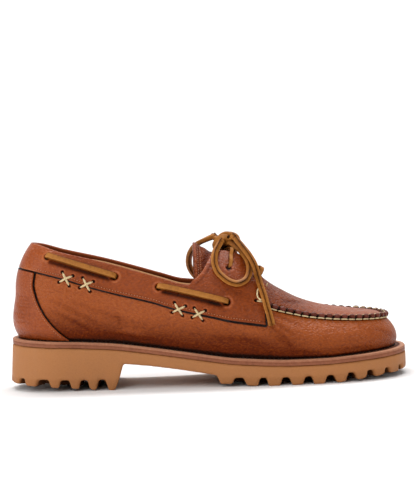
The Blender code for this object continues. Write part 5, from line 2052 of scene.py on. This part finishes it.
    def fine_row(self, path: Array, out: Array) -> BMesh:
        """A row of small stitches along a line.

        Args:
            path: closely spaced points of the line.
            out: the direction out of the leather at each.

        Returns:
            One mesh of all the stitches.
        """
        run = run_of(path)
        mesh = bmesh.new()
        for at in np.arange(self.fine_pitch, run[-1] - self.fine_pitch / 2, self.fine_pitch):
            ahead, behind = (
                np.array([np.interp(at + d, run, path[:, k]) for k in range(3)])
                for d in (self.fine_length / 2, -self.fine_length / 2)
            )
            normal = Vector([np.interp(at, run, out[:, k]) for k in range(3)]).normalized()
            along = Vector(ahead - behind).normalized()
            across = normal.cross(along).normalized()
            turn = Matrix((along, across, normal)).transposed().to_4x4()
            size = Matrix.Diagonal((self.fine_length / 2, self.fine_width / 2, self.fine_width * 0.45, 1.0))
            spot = Matrix.Translation(Vector((ahead + behind) / 2)) @ turn @ size
            bmesh.ops.create_uvsphere(mesh, u_segments=6, v_segments=5, radius=1.0, matrix=spot)
        return mesh

    def edge_rows(self) -> None:
        """The fine stitches along the collar band's lower edge, the counter's edges and the tongue's edge."""
        last, band, counter, tongue = self.last, bmesh.new(), bmesh.new(), bmesh.new()
        station = np.linspace(8 * MM, 190.5 * MM, 500)
        for side in Side:
            ring = last.ring_place(station, side.value)
            level = last.level_at(ring, (last.band_seam.read("height", station) + self.above_edge) * MM)
            path = last.band_skin(ring, level, last.overlay + 0.02 * MM)
            add_mesh(band, self.fine_row(path, last.outward(ring, level)))
        dressed("collar_band_stitches", band, (TAN_THREAD,))
        back = HeelCounter(last)
        up = np.linspace(0.04, 0.985, 200)
        for edge in (0.018, 0.982):
            ring, level = back.places(np.full_like(up, edge), up)
            path = last.skin(ring, level, last.gap + back.seat + last.overlay - 0.03 * MM)
            add_mesh(counter, self.fine_row(path, last.outward(ring, level)))
        dressed("counter_stitches", counter, (TAN_THREAD,))
        across = np.linspace(0.04, 0.96, 200)
        for station in (144.6 * MM, 146.6 * MM):
            at = np.full_like(across, station)
            depths = (np.full_like(across, depth * MM) for depth in (-0.02, 0.5))
            path, beside = (Tongue(last).points(at, across, depth) for depth in depths)
            add_mesh(tongue, self.fine_row(path, path - beside))
        dressed("tongue_stitches", tongue, (TAN_THREAD,))

    def welt_row(self) -> None:
        """The dark stitches down in the crack between the upper and the midsole."""
        ring = np.linspace(-1, 1, 1400)
        foot = self.last.point(ring, np.zeros_like(ring))
        out = self.last.outward(ring, np.full_like(ring, 0.02)) * np.array([1.0, 1.0, 0.0])
        path = foot + out * 0.55 * MM + np.array([0.0, 0.0, 0.05 * MM])
        wide = Sewing(self.last, self.seam, fine_length=2.3 * MM, fine_width=0.8 * MM, fine_pitch=3.3 * MM)
        dressed("welt_stitches", wide.fine_row(path, out + np.array([0, 0, 1.0])), (DARK_THREAD,))

    def build(self) -> None:
        """Sews the shoe."""
        self.crosses()
        self.moc_stitches()
        self.puckers()
        self.ties()
        self.edge_rows()
        self.welt_row()


# Studio


@dataclass(frozen=True)
class Studio:
    """Camera, soft light, and a plain pale floor that sweeps up behind the shoe."""

    eye: Triple = (-0.02972, -1.24957, 0.163)
    aim: Triple = (0.003, 0.0, 0.1066)
    roll: float = math.radians(2.3)
    lens: float = 123.2
    white: float = 0.90
    air: float = 0.30  # strength of the light from all round

    def camera(self) -> None:
        """The camera, level with the shoe's side and turned a little clockwise."""
        data = bpy.data.cameras.new("studio_camera")
        data.lens, data.sensor_width, data.sensor_fit = self.lens, 36.0, "AUTO"
        data.clip_start, data.clip_end = 0.05, 50.0
        made = placed("studio_camera", data)
        made.location = self.eye
        look = Vector(self.aim) - Vector(self.eye)
        level = look.to_track_quat("-Z", "Y").to_matrix()
        made.rotation_euler = (level @ Matrix.Rotation(-self.roll, 3, "Z")).to_euler()
        bpy.context.scene.camera = made

    def light(self, name: str, place: Triple, size: Pair, power: float) -> None:
        """A soft box that looks at the shoe.

        Args:
            name: its name.
            place: where it stands.
            size: its width and height.
            power: in watts.
        """
        data = bpy.data.lights.new(name, "AREA")
        data.shape, data.size, data.size_y, data.energy = "RECTANGLE", *size, power
        made = placed(name, data)
        made.location = place
        made.rotation_euler = (Vector((0.0, 0.0, 0.06)) - Vector(place)).to_track_quat("-Z", "Y").to_euler()

    def sweep(self) -> None:
        """The floor and its backdrop, in one piece."""
        profile = [(-3.5, 0.0), (-1.0, 0.0), (0.6, 0.0), (1.2, 0.0)]
        bend = np.linspace(0.15, math.pi / 2, 12)
        profile += [(1.2 + 0.8 * math.sin(a), 0.8 * (1 - math.cos(a))) for a in bend]
        profile += [(2.0, 2.2), (2.0, 4.5)]
        line = np.array(profile)

        def shape(across: Array, along: Array) -> TwoArrays:
            """Points of the sweep."""
            j = np.rint(along * (len(line) - 1)).astype(int)
            return np.stack([(across - 0.5) * 8, line[j, 0], line[j, 1]], axis=-1), np.zeros(len(j))

        mesh = laid_grid(4, len(line) - 1, shape)
        bmesh.ops.recalc_face_normals(mesh, faces=mesh.faces)
        data = settled("pale_floor", mesh)
        data.shade_smooth()
        paint = bpy.data.materials.new("pale_floor")
        paint.use_nodes = True
        shader = paint.node_tree.nodes["Principled BSDF"]
        shader.inputs["Base Color"].default_value = (self.white, self.white, self.white, 1.0)
        shader.inputs["Roughness"].default_value = 0.9
        shader.inputs["Specular IOR Level"].default_value = 0.1
        data.materials.append(paint)
        floor = placed("pale_floor", data)
        floor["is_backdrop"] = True

    def build(self) -> None:
        """Sets the studio up."""
        scene = bpy.context.scene
        scene.view_settings.view_transform = "Standard"
        world = bpy.data.worlds.new("studio_air")
        world.use_nodes = True
        air = world.node_tree.nodes["Background"]
        air.inputs["Color"].default_value = (1.0, 1.0, 1.0, 1.0)
        air.inputs["Strength"].default_value = self.air
        scene.world = world
        self.light("soft_top", (0.1, -0.2, 1.5), (1.6, 1.2), 5.0)
        self.light("soft_key", (-0.5, -1.3, 0.9), (0.8, 0.8), 6.5)
        self.light("soft_right", (1.3, -0.9, 0.7), (0.5, 0.8), 3.0)
        self.light("soft_left", (-1.5, -0.4, 0.6), (0.45, 0.7), 6.5)
        self.light("backdrop_wash", (0.0, 0.9, 2.6), (2.5, 0.8), 60.0)
        self.sweep()


def corners(box: tuple[Vector, Vector]) -> list[list[float]]:
    """A box as plain lists of numbers."""
    return [list(corner) for corner in box]


def main() -> None:
    """Builds the shoe's pieces over the frame, the camera and the free lace first."""
    logging.basicConfig(level=logging.INFO, format="%(name)s %(message)s")
    for obj in list(bpy.data.objects):
        bpy.data.objects.remove(obj, do_unlink=True)
    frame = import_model()
    solid_box = corners(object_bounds())
    last = Last()
    seam = MocSeam(last)
    studio = Studio()
    studio.camera()
    Lace(last).build()
    Upper(last, seam).build()
    CollarBand(last).build()
    HeelCounter(last).build()
    Tongue(last).build()
    Footbed(last).build()
    Midsole(last).build()
    Outsole(last, frame["nodes"]["outsole"]).build()
    Sewing(last, seam).build()
    studio.build()
    {"cad": solid_box, "visual": corners(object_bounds())}


if __name__ == "__main__":
    main()
